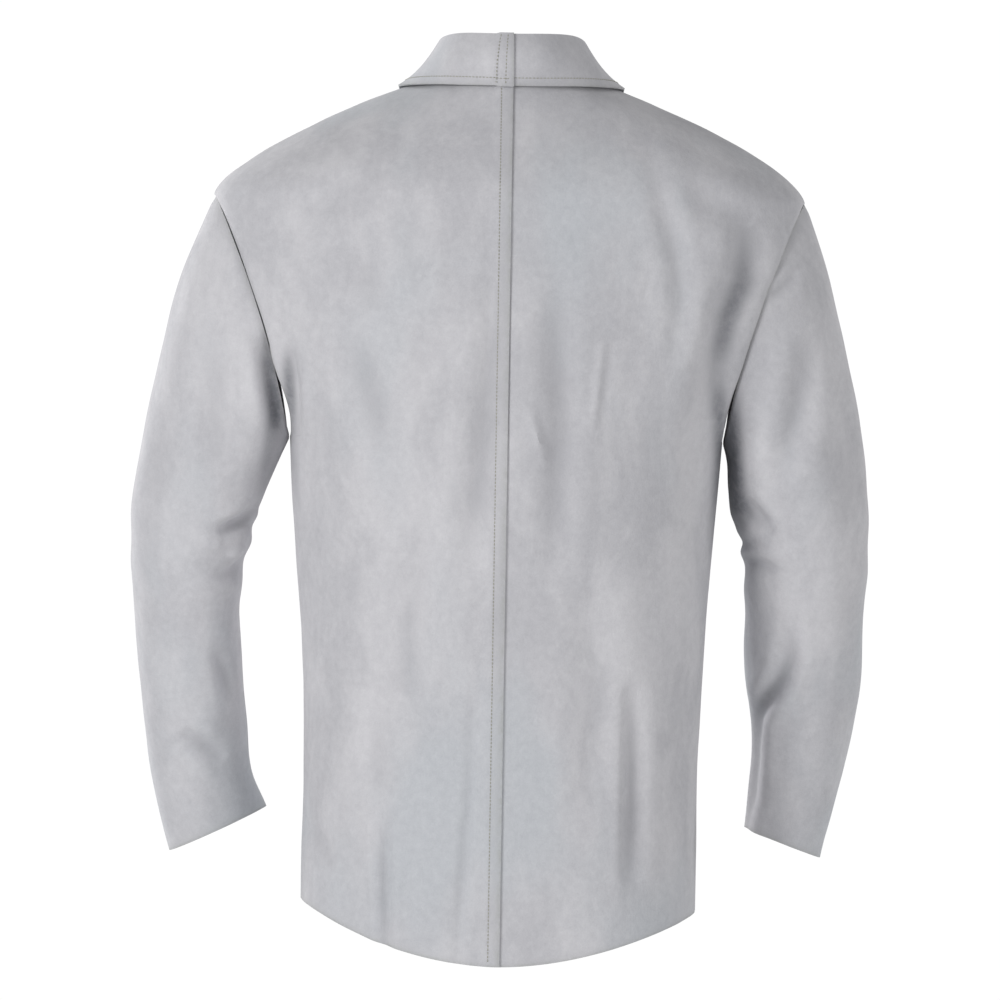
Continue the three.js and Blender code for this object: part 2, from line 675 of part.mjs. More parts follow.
/** Surface of a sleeve. Angle 0 is its outer side and 180 its inner side; along falls from 0 at the cuff. */
function sleeveSurface(side, stations) {
  const knots = sleeveKnots(stations);
  const count = stations.length;
  return (angle, up) => {
    const along = count - up;
    const at = (key) => through(knots[key], along);
    const c = Math.cos(degToRad(angle));
    const s = Math.sin(degToRad(angle));
    const bow = ARMHOLE_BOW * s * s * Math.max(0, 1 - along);
    const tilt = at("slant") * (ARMHOLE_HEIGHT / 2) + at("rise");
    return new THREE.Vector3(
      side * (ARMHOLE_MIDDLE_X + at("beyond") + at("halfWidth") * c - bow),
      side * at("halfDepth") * s - at("forward"),
      ARMHOLE_MIDDLE_Z - at("below") + tilt * c,
    );
  };
}

const INNER_SEAM = 180;

for (const [side, stations] of [
  [LEFT, LEFT_SLEEVE],
  [RIGHT, RIGHT_SLEEVE],
]) {
  const surface = sleeveSurface(side, stations);
  const round = [-INNER_SEAM + SLEEVE_SEAM_TURN, INNER_SEAM - SLEEVE_SEAM_TURN];
  const elbow = stations.length - ELBOW_STATION;
  const parts = [
    ["sleeve_upper", elbow + ELBOW_SOFT + RING_GAP, stations.length, ROWS.sleeveUpper],
    ["sleeve_elbow", elbow - ELBOW_SOFT + RING_GAP, elbow + ELBOW_SOFT - RING_GAP, ROWS.elbow],
    ["sleeve_forearm", 0, elbow - ELBOW_SOFT - RING_GAP, ROWS.forearm],
  ];
  for (const [name, from, to, rings] of parts) {
    const rows = steps(from, to, rings);
    const geometry = sheet(surface, { u: round, across: 2 * ARMHOLE_STEPS, rows, thickness: LEATHER });
    add(named(name, side), geometry, suede);
  }
  const facing = sheet(surface, {
    u: round,
    across: 2 * ARMHOLE_STEPS,
    rows: steps(CUFF_FACING_FROM, CUFF_FACING_TO, ROWS.cuffFacing),
    thickness: LINING_LEATHER,
    outer: INSIDE_FACE,
  });
  add(named("cuff_facing", side), facing, suedeDark);
}

// ---------- Origin ----------

// The sleeves hang a little differently, so the middle of the whole jacket isn't quite that of its back.
const extent = new THREE.Box3().setFromObject(jacket, true);
const middle = extent.getCenter(new THREE.Vector3());
jacket.position.set(-middle.x, -middle.y, -extent.min.z);

export default jacket;
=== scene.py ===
"""Looks of a split-leather welding jacket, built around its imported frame.

Metres, +Z up. The front faces -Y and the wearer's left is +X.
"""

import logging
import math
from collections.abc import Callable, Sequence
from dataclasses import dataclass, field
from enum import Enum
from functools import cached_property
from typing import Any

import bmesh
import bpy
import numpy as np
from mathutils import Matrix, Quaternion, Vector, noise


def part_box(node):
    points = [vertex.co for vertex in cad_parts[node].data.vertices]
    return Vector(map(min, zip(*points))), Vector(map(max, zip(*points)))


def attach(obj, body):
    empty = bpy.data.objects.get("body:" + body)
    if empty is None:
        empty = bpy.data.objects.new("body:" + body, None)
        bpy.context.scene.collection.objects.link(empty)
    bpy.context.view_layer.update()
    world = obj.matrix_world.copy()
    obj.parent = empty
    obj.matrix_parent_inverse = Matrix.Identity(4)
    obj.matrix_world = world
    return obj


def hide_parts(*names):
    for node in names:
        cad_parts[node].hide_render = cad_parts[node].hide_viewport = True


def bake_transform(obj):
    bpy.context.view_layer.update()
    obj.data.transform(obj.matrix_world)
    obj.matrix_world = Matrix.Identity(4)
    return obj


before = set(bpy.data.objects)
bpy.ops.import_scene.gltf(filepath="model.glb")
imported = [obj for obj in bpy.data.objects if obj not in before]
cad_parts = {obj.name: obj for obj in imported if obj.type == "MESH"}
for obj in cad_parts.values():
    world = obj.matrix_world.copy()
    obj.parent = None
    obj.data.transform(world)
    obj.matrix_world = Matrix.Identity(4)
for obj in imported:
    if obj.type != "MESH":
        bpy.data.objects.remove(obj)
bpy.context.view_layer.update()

log = logging.getLogger("jacket")
Array = np.ndarray
MM = 0.001
EDGE_TINT_REACH = 0.0022  # how far the darker edge tint reaches in from a cut edge
BUCKLE_HEIGHT = 1.6 * MM  # of the creases at the elbow
BUCKLES_PER_STATION = 6.5


class Side(Enum):
    """Which side of the wearer a piece is on. The value is the sign of its x."""

    LEFT = 1
    RIGHT = -1

    @property
    def word(self) -> str:
        """Name of the side in piece and body names."""
        return self.name.lower()


class Slot(Enum):
    """Material slots of the record."""

    OUTER = "suede_outer"
    INNER = "suede_inner"
    TAPE = "tape"
    LABEL = "label"
    METAL = "snap_metal"


# ---------- Numbers ----------


def smooth(at: Array, low: float, high: float) -> Array:
    """Smooth step from 0 at low to 1 at high.

    Args:
        at: Where to read the step.
        low: Where it starts.
        high: Where it ends.

    Returns:
        Values from 0 to 1.
    """
    t = np.clip((at - low) / (high - low), 0.0, 1.0)
    return t * t * (3.0 - 2.0 * t)


def through(knots: Sequence[float], values: Sequence[float], at: Array) -> Array:
    """Smooth curve through values at knots.

    Args:
        knots: Rising positions.
        values: Value at each knot.
        at: Where to read the curve.

    Returns:
        The curve's values.
    """
    k = np.asarray(knots, float)
    f = np.asarray(values, float)
    last = len(k) - 1
    i = np.clip(np.searchsorted(k, at, side="left") - 1, 0, last - 1)
    before = np.maximum(i - 1, 0)
    after = np.minimum(i + 2, last)
    span = k[i + 1] - k[i]
    leave = (f[i + 1] - f[before]) / (k[i + 1] - k[before]) * span
    arrive = (f[after] - f[i]) / (k[after] - k[i]) * span
    t = np.clip((at - k[i]) / span, 0.0, 1.0)
    t2, t3 = t * t, t * t * t
    start = (2 * t3 - 3 * t2 + 1) * f[i] + (t3 - 2 * t2 + t) * leave
    return start + (3 * t2 - 2 * t3) * f[i + 1] + (t3 - t2) * arrive


@dataclass(frozen=True)
class Surface:
    """A surface that pieces lie on.

    Attributes:
        place: Gives points for arrays of u and v. U turns into v anticlockwise seen from outside.
        step_u: Small step of u for the normal.
        step_v: Small step of v for the normal.
    """

    place: Callable[[Array, Array], Array]
    step_u: float
    step_v: float

    def normal(self, u: Array, v: Array) -> Array:
        """Outward unit normals.

        Args:
            u: First coordinates.
            v: Second coordinates.

        Returns:
            One row for each point.
        """
        along = self.place(u + self.step_u, v) - self.place(u - self.step_u, v)
        up = self.place(u, v + self.step_v) - self.place(u, v - self.step_v)
        cross = np.cross(along, up)
        return cross / np.maximum(np.linalg.norm(cross, axis=1, keepdims=True), 1e-15)

    def lifted(self, distance: float | Callable[[Array, Array], Array]) -> "Surface":
        """The surface moved along its normals.

        Args:
            distance: How far, the same everywhere or for each point.

        Returns:
            The moved surface.
        """

        def place(u: Array, v: Array) -> Array:
            """Points of the lifted surface."""
            by = distance(u, v) if callable(distance) else np.full(len(u), distance)
            return self.place(u, v) + self.normal(u, v) * by[:, None]

        return Surface(place, self.step_u, self.step_v)


# ---------- Forms: the shapes that the leather follows ----------


@dataclass(frozen=True)
class BodyForm:
    """The body of the jacket, by turn in degrees from the spine towards the wearer's right, and level."""

    back_length: float = 0.757
    shoulder_drop: float = 0.099
    armhole_height: float = 0.208
    waist_below_underarm: float = 0.235
    hem_rise_side: float = 0.043
    hem_rise_front: float = 0.020
    hem_rise_left: float = 0.007
    hem_curve: float = 1.6
    hem_curve_reach: float = 0.250
    neck_drop: float = 0.058
    neck_curve: float = 1.4
    neck_curve_from: float = 0.45
    hem_half: tuple[float, float] = (0.171, 0.128)
    waist_half: tuple[float, float] = (0.172, 0.122)
    chest_half: tuple[float, float] = (0.187, 0.132)
    shoulder_half: tuple[float, float] = (0.256, 0.118)
    neck_half: tuple[float, float] = (0.084, 0.075)
    neck_forward: float = 0.010
    squareness: float = 2.3
    shoulder_curve: float = 1.5
    armhole_half_depth: float = 0.062
    armhole_bow: float = 0.008
    fold_at_hem: float = 0.115
    fold_at_neck: float = 0.045
    lap: float = 0.022
    lap_set_in: tuple[float, float] = (0.034, 0.062)
    lap_depth: float = 0.0082

    @property
    def shoulder_z(self) -> float:
        """Height of the shoulder tips."""
        return self.back_length - self.shoulder_drop

    @property
    def underarm_z(self) -> float:
        """Height of the underarms."""
        return self.shoulder_z - self.armhole_height

    @property
    def armhole_z(self) -> float:
        """Height of the middle of the armholes."""
        return self.shoulder_z - self.armhole_height / 2

    @cached_property
    def middle(self) -> tuple[float, float]:
        """Where the body's own centre line stands in the frame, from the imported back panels."""
        (left_low, left_high), (right_low, right_high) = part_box("back_panel_left"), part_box("back_panel_right")
        return (left_low[0] + right_high[0]) / 2, left_high[1] - self.chest_half[1]

    def shoulder_share(self, level: Array) -> Array:
        """How far up from the shoulder tips to the neck a level is, on the shoulder's curve."""
        return np.clip((level - self.shoulder_z) / self.shoulder_drop, 0.0, 1.0) ** self.shoulder_curve

    def half_depth(self, level: Array) -> Array:
        """Half the depth of the body at a level."""
        knots = (0.0, self.underarm_z - self.waist_below_underarm, self.underarm_z, self.shoulder_z)
        values = (self.hem_half[1], self.waist_half[1], self.chest_half[1], self.shoulder_half[1])
        low = through(knots, values, level)
        high = self.shoulder_half[1] + (
            self.neck_half[1] - self.shoulder_half[1]
        ) * self.shoulder_share(level)
        return np.where(level >= self.shoulder_z, high, low)

    def power(self, level: Array) -> Array:
        """Exponent of the body's outline: it rounds off to an ellipse at the neck."""
        return self.squareness + (2.0 - self.squareness) * smooth(level, self.underarm_z, self.back_length)

    def armhole(self, angle: Array) -> Array:
        """The armhole seam of the left side.

        Args:
            angle: Degrees, 0 at the shoulder tip, 90 at the back and 180 at the underarm.

        Returns:
            Points.
        """
        c, s = np.cos(np.radians(angle)), np.sin(np.radians(angle))
        middle = (self.shoulder_half[0] + self.chest_half[0]) / 2
        half = (self.shoulder_half[0] - self.chest_half[0]) / 2
        x = middle + half * c - self.armhole_bow * s * s
        return np.stack(
            (x, self.armhole_half_depth * s, self.armhole_z + self.armhole_height / 2 * c), axis=1
        )

    def armhole_at(self, level: Array) -> tuple[Array, Array, Array]:
        """Where the armhole seam is at a level.

        Args:
            level: Levels on the body.

        Returns:
            Whether each level passes the armhole, and the seam's x and y there.
        """
        t = (level - self.armhole_z) / (self.armhole_height / 2)
        seam = self.armhole(np.degrees(np.arccos(np.clip(t, -1.0, 1.0))))
        return np.abs(t) < 1.0, seam[:, 0], seam[:, 1]

    def half_width(self, level: Array) -> Array:
        """Half the width of the body at a level, as if its outline closed over the armholes."""
        knots = (0.0, self.underarm_z - self.waist_below_underarm, self.underarm_z)
        low = through(knots, (self.hem_half[0], self.waist_half[0], self.chest_half[0]), level)
        high = self.shoulder_half[0] + (
            self.neck_half[0] - self.shoulder_half[0]
        ) * self.shoulder_share(level)
        inside, x, y = self.armhole_at(level)
        power = self.power(level)
        over = x / (1.0 - (y / self.half_depth(level)) ** power) ** (1.0 / power)
        return np.where(level >= self.shoulder_z, high, np.where(inside, over, low))

    def turn_at(self, distance: Array | float, level: Array) -> Array:
        """Degrees from the spine or the centre front at which the outline is a distance from the middle."""
        share = np.clip(distance / self.half_width(level), 0.0, 1.0)
        return np.degrees(np.arcsin(share ** (self.power(level) / 2)))

    def side_edge(self, level: Array) -> Array:
        """Turn of the side seam, armhole seam or shoulder seam at a level."""
        inside, x, _ = self.armhole_at(level)
        return np.where(inside, self.turn_at(x, level), 90.0)

    def place(self, turn: Array, level: Array) -> Array:
        """Points of the body in the frame.

        Args:
            turn: Degrees from the spine.
            level: Levels.

        Returns:
            Points.
        """
        s, c = np.sin(np.radians(turn)), np.cos(np.radians(turn))
        power = 2.0 / self.power(level)
        x = -self.half_width(level) * np.sign(s) * np.abs(s) ** power
        forward = self.neck_forward * smooth(level, self.shoulder_z, self.back_length)
        y = self.half_depth(level) * np.sign(c) * np.abs(c) ** power - forward
        rest = np.where(c < 0, self.hem_rise_front, 0.0)
        side_rise = self.hem_rise_side + self.hem_rise_left * np.clip(-s, 0.0, 1.0)
        rise = rest + (side_rise - rest) * np.abs(s) ** self.hem_curve
        rise = rise * np.clip(1.0 - level / self.hem_curve_reach, 0.0, None)
        start = self.neck_curve_from * (1.0 - smooth(level, self.shoulder_z, self.back_length))
        front = np.clip((-c - start) / (1.0 - start), 0.0, None) ** self.neck_curve
        drop = self.neck_drop * front * smooth(level, self.armhole_z, self.back_length)
        mx, my = self.middle
        return np.stack((x + mx, y + my, level + rise - drop), axis=1)

    def surface(self) -> Surface:
        """The whole body as a surface."""
        return Surface(self.place, 0.02, 2e-5)

    def set_in(self, side: Side) -> Surface:
        """The body's surface for one front: the right one lies behind the left one where they lap."""
        if side is Side.LEFT:
            return self.surface()

        def depth(turn: Array, level: Array) -> Array:
            """Offset of each point from the body."""
            from_centre = np.abs(self.place(turn, level)[:, 0] - self.middle[0])
            share = np.where(np.abs(turn) > 180.0, 1.0, 1.0 - smooth(from_centre, *self.lap_set_in))
            return -self.lap_depth * share

        return self.surface().lifted(depth)

    def rows(self, spacing: float) -> Array:
        """Levels of the rows of a panel, which crowd together where the armhole seam runs level.

        Args:
            spacing: Usual distance between rows.

        Returns:
            Rising levels from hem to neck.
        """
        low = np.linspace(0.0, self.underarm_z, int(self.underarm_z / spacing) + 1)
        count = int(self.armhole_height / spacing * 1.4)
        hole = self.armhole(np.linspace(180.0, 0.0, count + 1))[:, 2]
        high = np.linspace(self.shoulder_z, self.back_length, int(self.shoulder_drop / spacing * 1.5) + 1)
        return np.concatenate((low, hole[1:-1], high))


@dataclass(frozen=True)
class Ring:
    """One ring of a sleeve, in millimetres: its centre and how wide, deep and tilted it is."""

    drop: float
    out: float
    forward: float
    half_width: float
    half_depth: float
    tilt: float


@dataclass(frozen=True)
class SleeveForm:
    """A sleeve, by angle in degrees, 0 on its outer side, and station, 0 at the cuff."""

    side: Side
    body: BodyForm
    rings: tuple[Ring, ...]

    @property
    def top(self) -> float:
        """Station of the armhole seam."""
        return float(len(self.rings))

    def knots(self, name: str) -> list[float]:
        """One measure of every ring, from the armhole down, in metres."""
        body = self.body
        head = Ring(
            drop=body.armhole_height / 2 / MM,
            out=(body.shoulder_half[0] + body.chest_half[0]) / 2 / MM,
            forward=0.0,
            half_width=(body.shoulder_half[0] - body.chest_half[0]) / 2 / MM,
            half_depth=body.armhole_half_depth / MM,
            tilt=body.armhole_height / 2 / MM,
        )
        return [getattr(ring, name) * MM for ring in (head, *self.rings)]

    def place(self, angle: Array, station: Array) -> Array:
        """Points of the sleeve in the frame.

        Args:
            angle: Degrees round the sleeve.
            station: Stations up from the cuff.

        Returns:
            Points.
        """
        along = self.top - station
        at = {k: through(range(len(self.rings) + 1), self.knots(k), along) for k in Ring.__dataclass_fields__}
        c, s = np.cos(np.radians(angle)), np.sin(np.radians(angle))
        bow = self.body.armhole_bow * s * s * np.clip(1.0 - along, 0.0, None)
        sign = self.side.value
        mx, my = self.body.middle
        x = sign * (at["out"] + at["half_width"] * c - bow) + mx
        y = sign * at["half_depth"] * s - at["forward"] + my
        return np.stack((x, y, self.body.shoulder_z - at["drop"] + at["tilt"] * c), axis=1)

    def surface(self) -> Surface:
        """The whole sleeve as a surface."""
        return Surface(self.place, 0.02, 1e-3)


@dataclass(frozen=True)
class CollarForm:
    """The collar: a stand up to the roll, and a fall down over it."""

    body: BodyForm
    stand_height: float = 0.043
    roll_half: tuple[float, float] = (0.062, 0.070)
    roll_forward: float = 0.006
    roll_drop: float = 0.074
    roll_curve: float = 2.2
    roll_clearance: float = 0.0042
    fall_lift: float = 0.004
    fall_bulge: float = 0.008
    fall_bulge_side: float = -0.003
    edge_drops: tuple[float, float, float] = (0.004, 0.001, 0.062)
    edge_curve: float = 3.0
    point_from: tuple[float, float] = (0.058, 0.014)

    def roll(self, turn: Array) -> Array:
        """Points of the line where the collar turns over."""
        s, c = np.sin(np.radians(turn)), np.cos(np.radians(turn))
        mx, my = self.body.middle
        z = self.body.back_length + self.stand_height - self.roll_drop * ((1.0 - c) / 2) ** self.roll_curve
        return np.stack(
            (mx - self.roll_half[0] * s, my + self.roll_half[1] * c - self.roll_forward, z), axis=1
        )

    def stand(self, side: Side = Side.LEFT) -> Surface:
        """The stand, from the neck seam at 0 to the roll at 1."""
        neck = self.body.set_in(side)

        def place(turn: Array, up: Array) -> Array:
            """Points of the surface."""
            low = neck.place(turn, np.full(len(turn), self.body.back_length))
            return low + (self.roll(turn) - low) * up[:, None]

        return Surface(place, 0.02, 1e-3)

    def fall(self) -> Surface:
        """The fall, from its edge at 0 up to the roll at 1."""
        over = self.body.surface().lifted(self.fall_lift)
        stand = self.stand()

        def place(turn: Array, up: Array) -> Array:
            """Points of the surface."""
            c = np.cos(np.radians(turn))
            back, at_side, front = self.edge_drops
            drop = back + at_side * (1.0 - c * c) + front * np.clip(-c, 0.0, None) ** self.edge_curve
            edge = over.place(turn, self.body.back_length - drop)
            ones = np.ones(len(turn))
            top = self.roll(turn) + stand.normal(turn, ones) * self.roll_clearance
            round_off = self.fall_bulge + (self.fall_bulge_side - self.fall_bulge) * (1.0 - c * c)
            bulge = round_off * np.sin(np.pi * up)
            return edge + (top - edge) * up[:, None] + stand.normal(turn, ones / 2) * bulge[:, None]

        return Surface(place, 0.02, 1e-3)

    def point_end(self, up: Array) -> Array:
        """Turn of the front end of the fall, which slants back towards the collar point."""
        edge_level = np.full(len(up), self.body.back_length - self.edge_drops[2])
        at_edge = self.body.turn_at(self.point_from[0], edge_level)
        at_roll = math.degrees(math.asin(self.point_from[1] / self.roll_half[0]))
        return 180.0 - (at_edge + (at_roll - at_edge) * up)


# ---------- Folds ----------


@dataclass(frozen=True)
class Fold:
    """A fold of the leather, seen from behind or in front. The same shape also places painted shadows.

    Attributes:
        route: Points (x, z) in millimetres from the body's centre line and the hem.
        width: Half width in millimetres.
        height: Height in millimetres, negative for a valley; for a painted shadow, how dark it is.
        facing: 1 on the back, -1 on the front.
    """

    route: tuple[tuple[float, float], ...]
    width: float
    height: float
    facing: int = 1

    def relief(self, x: Array, z: Array) -> Array:
        """How far the fold moves points out.

        Args:
            x: Distances from the centre line, in millimetres.
            z: Heights above the hem, in millimetres.

        Returns:
            Distances in millimetres.
        """
        points = np.array(self.route, float)
        best = np.full(len(x), 1e9)
        end = np.zeros(len(x))
        total = len(points) - 1
        for i in range(total):
            a, b = points[i], points[i + 1]
            d = b - a
            t = np.clip(((x - a[0]) * d[0] + (z - a[1]) * d[1]) / (d @ d), 0.0, 1.0)
            away = np.hypot(x - a[0] - t * d[0], z - a[1] - t * d[1])
            nearer = away < best
            best = np.where(nearer, away, best)
            end = np.where(nearer, (i + t) / total, end)
        taper = np.clip(np.sin(np.pi * np.clip(end, 0.0, 1.0)), 0.0, 1.0) ** 0.6
        core = np.exp(-((best / self.width) ** 2))
        bank = np.exp(-(((best - 1.9 * self.width) / self.width) ** 2))
        return self.height * (core - 0.3 * bank) * (0.15 + 0.85 * taper)


@dataclass(frozen=True)
class Relief:
    """Everything that moves a panel's leather off its form, and the painted shade and highlight laid along it.

    Attributes:
        body: The form, for its centre line.
        folds: Named folds.
        strokes: Painted shadows where shade falls under the arms; they only darken the colour.
        strength: How much higher the folds are than written.
        swell: Height of the broad swells, in millimetres.
        ripple: Height of the short ripples, in millimetres.
        seed: Where in the noise the panel lies.
        tone_of_folds: Painted shade for each millimetre of valley, and painted highlight for each millimetre a fold
            stands up.
    """

    body: BodyForm
    folds: tuple[Fold, ...] = ()
    strokes: tuple[Fold, ...] = ()
    strength: float = 1.7
    swell: float = 1.9
    ripple: float = 0.55
    seed: float = 0.0
    tone_of_folds: float = 0.05

    def folded(self, points: Array, normals: Array) -> Array:
        """What the named folds do to each point, in millimetres."""
        x = (points[:, 0] - self.body.middle[0]) / MM
        z = points[:, 2] / MM
        out = np.zeros(len(points))
        for fold in self.folds:
            out += self.strength * fold.relief(x, z) * smooth(normals[:, 1] * fold.facing, -0.05, 0.45)
        return out

    def tone(self, points: Array, normals: Array) -> Array:
        """How much darker each point is painted: painted shade in fold valleys and under the arms, painted highlight
        on fold crests.

        Args:
            points: Points of the form.
            normals: Their normals.

        Returns:
            0 for plain leather, 1 for the darkest painted shade, and below 0 for painted highlight on fold crests.
        """
        x = (points[:, 0] - self.body.middle[0]) / MM
        z = points[:, 2] / MM
        out = -self.tone_of_folds * self.folded(points, normals)
        for painted_shadow in self.strokes:
            out += painted_shadow.relief(x, z) * smooth(normals[:, 1] * painted_shadow.facing, -0.75, 0.0)
        return np.clip(out, -0.4, 1.0)

    def at(self, points: Array, normals: Array) -> Array:
        """Distance that each point moves out.

        Args:
            points: Points of the form.
            normals: Their normals.

        Returns:
            Distances in metres.
        """
        out = self.folded(points, normals)
        for i, p in enumerate(points):
            broad = noise.noise(Vector((p[0] * 13 + self.seed, p[1] * 13, p[2] * 6.5)))
            short = noise.noise(Vector((p[0] * 42, p[1] * 42 + self.seed, p[2] * 24)))
            out[i] += self.swell * broad + self.ripple * short
        return out * MM


BODY_FOLDS = (
    Fold(((6, 590), (14, 500), (24, 400), (30, 340)), 13, -3.6),
    Fold(((-42, 585), (-47, 470), (-43, 345)), 12, -3.4),
    Fold(((-19, 480), (-34, 430)), 4, 1.2),
    Fold(((-73, 460), (-82, 540)), 4, 1.2),
    Fold(((120, 610), (112, 560)), 15, -2.6),
    Fold(((131, 545), (104, 440)), 15, -3.2),
    Fold(((-117, 705), (-136, 641), (-146, 607), (-150, 568), (-144, 520)), 9, -2.2),
    Fold(((-206, 640), (-203, 592), (-188, 561), (-179, 519), (-176, 470)), 14, -5.5),
    Fold(((-112, 245), (-113, 70)), 10, -3.4),
    Fold(((-101, 245), (-102, 70)), 6, 1.4),
    Fold(((101, 125), (96, 0)), 5.5, -3.0),
    Fold(((163, 118), (140, 80)), 8, -2.2),
    Fold(((106, 225), (104, 140)), 10, -2.2),
    Fold(((24, 240), (25, 150), (31, 58), (34, -10)), 5, -1.6),
    Fold(((189, 530), (184, 450)), 8, -5.0),
    Fold(((60, 400), (78, 300), (80, 220)), 16, -2.0),
    Fold(((-70, 330), (-82, 240), (-78, 140)), 16, -2.0),
    Fold(((170, 640), (120, 672)), 14, -2.0),
    Fold(((-150, 668), (-210, 640)), 12, -2.0),
)
FRONT_FOLDS = (
    Fold(((150, 560), (110, 470), (95, 380)), 13, -3.2, -1),
    Fold(((-150, 560), (-112, 480), (-98, 370)), 13, -3.2, -1),
    Fold(((130, 250), (122, 60)), 12, -2.8, -1),
    Fold(((-128, 260), (-124, 60)), 12, -2.8, -1),
    Fold(((180, 620), (130, 640)), 12, -2.2, -1),
    Fold(((-180, 620), (-130, 640)), 12, -2.2, -1),
)
LEFT_SLEEVE_FOLDS = (
    Fold(((214, 386), (228, 374), (246, 364)), 6, -5.0),
    Fold(((226, 352), (240, 344)), 5, 2.6),
    Fold(((224, 334), (248, 326)), 6, -2.6),
    Fold(((247, 262), (236, 220)), 6, -2.6),
    Fold(((278, 190), (240, 166)), 8, -3.2),
    Fold(((211, 540), (200, 480), (196, 455)), 8, -4.5),
    Fold(((262, 560), (250, 480), (244, 420)), 13, -2.6),
    Fold(((300, 470), (302, 390)), 14, -2.0),
    Fold(((226, 372), (262, 350)), 8, -4.5, -1),
    Fold(((228, 330), (270, 322)), 8, -3.5, -1),
    Fold(((232, 240), (280, 214)), 9, -2.8, -1),
)
RIGHT_SLEEVE_FOLDS = (
    Fold(
        (
            (-246, 290),
            (-249, 262),
            (-242, 244),
            (-230, 227),
            (-221, 209),
            (-219, 186),
            (-217, 139),
            (-210, 108),
        ),
        8,
        -5.5,
    ),
    Fold(((-226, 578), (-252, 598)), 5, -2.4),
    Fold(((-262, 540), (-250, 470), (-232, 410)), 12, -3.0),
    Fold(((-204, 400), (-232, 372)), 7, -3.4),
    Fold(((-296, 470), (-300, 380)), 14, -2.0),
    Fold(((-206, 352), (-236, 338)), 6, -2.4),
    Fold(((-216, 372), (-262, 350)), 8, -4.5, -1),
    Fold(((-216, 330), (-262, 320)), 8, -3.5, -1),
    Fold(((-216, 236), (-262, 212)), 9, -2.8, -1),
)


# Painted shadows: dark marks where shade falls under the arms and by the right armhole, between sleeve and body. Each
# only darkens the colour; its height is how dark.
BODY_PAINTED_SHADOWS = (
    Fold(((-184, 500), (-186, 430), (-182, 350)), 9, 0.75),
    Fold(((190, 520), (186, 450), (178, 380)), 7, 0.35),
    Fold(((-206, 640), (-196, 575), (-182, 520)), 12, 0.16),
)
RIGHT_SLEEVE_PAINTED_SHADOWS = (Fold(((-192, 500), (-194, 440), (-206, 360)), 13, 0.9),)
LEFT_SLEEVE_PAINTED_SHADOWS = (Fold(((206, 545), (200, 470), (214, 380)), 9, 0.5),)


# ---------- Mesh work ----------


@dataclass(frozen=True)
class SheetPlan:
    """How to cut one sheet from a surface.

    Attributes:
        rows: Rising values of v.
        ends: Gives the two values of u at each row.
        columns: Faces across.
        thickness: Thickness in metres.
        outer: Offset of the outer face from the surface, the same everywhere or for each point.
        relief: What moves the leather off the surface.
        round: True for a tube, whose two ends of u are sewn together.
        cut: Which edges are real cut edges: low u, high u, low v and high v.
    """

    rows: Array
    ends: Callable[[Array], tuple[Array, Array]]
    columns: int
    thickness: float
    outer: float | Callable[[Array, Array], Array] = 0.0
    relief: Relief | None = None
    round: bool = False
    cut: tuple[bool, bool, bool, bool] = (True, True, True, True)


def link(mesh_from: bmesh.types.BMesh, name: str) -> bpy.types.Object:
    """Puts a finished bmesh in the scene as an object at the origin.

    Args:
        mesh_from: The bmesh, which is freed.
        name: Name of the piece.

    Returns:
        The object.
    """
    mesh = bpy.data.meshes.new(name)
    mesh_from.to_mesh(mesh)
    mesh_from.free()
    piece = bpy.data.objects.new(name, mesh)
    bpy.context.scene.collection.objects.link(piece)
    return piece


def sharpen(bm: bmesh.types.BMesh, degrees: float = 42.0) -> None:
    """Smooths the faces and keeps as hard the edges that turn more than an angle."""
    limit = math.radians(degrees)
    for face in bm.faces:
        face.smooth = True
    for edge in bm.edges:
        edge.smooth = not (len(edge.link_faces) == 2 and edge.calc_face_angle(0.0) > limit)


@dataclass
class Sheet:
    """A cut sheet: its object and the sizes it was cut to."""

    piece: bpy.types.Object
    width: float
    length: float
    area: float

    def declare(self, held: str, rests_on: Sequence[str] = ()) -> None:
        """Does nothing: no sheet or flat size is declared."""


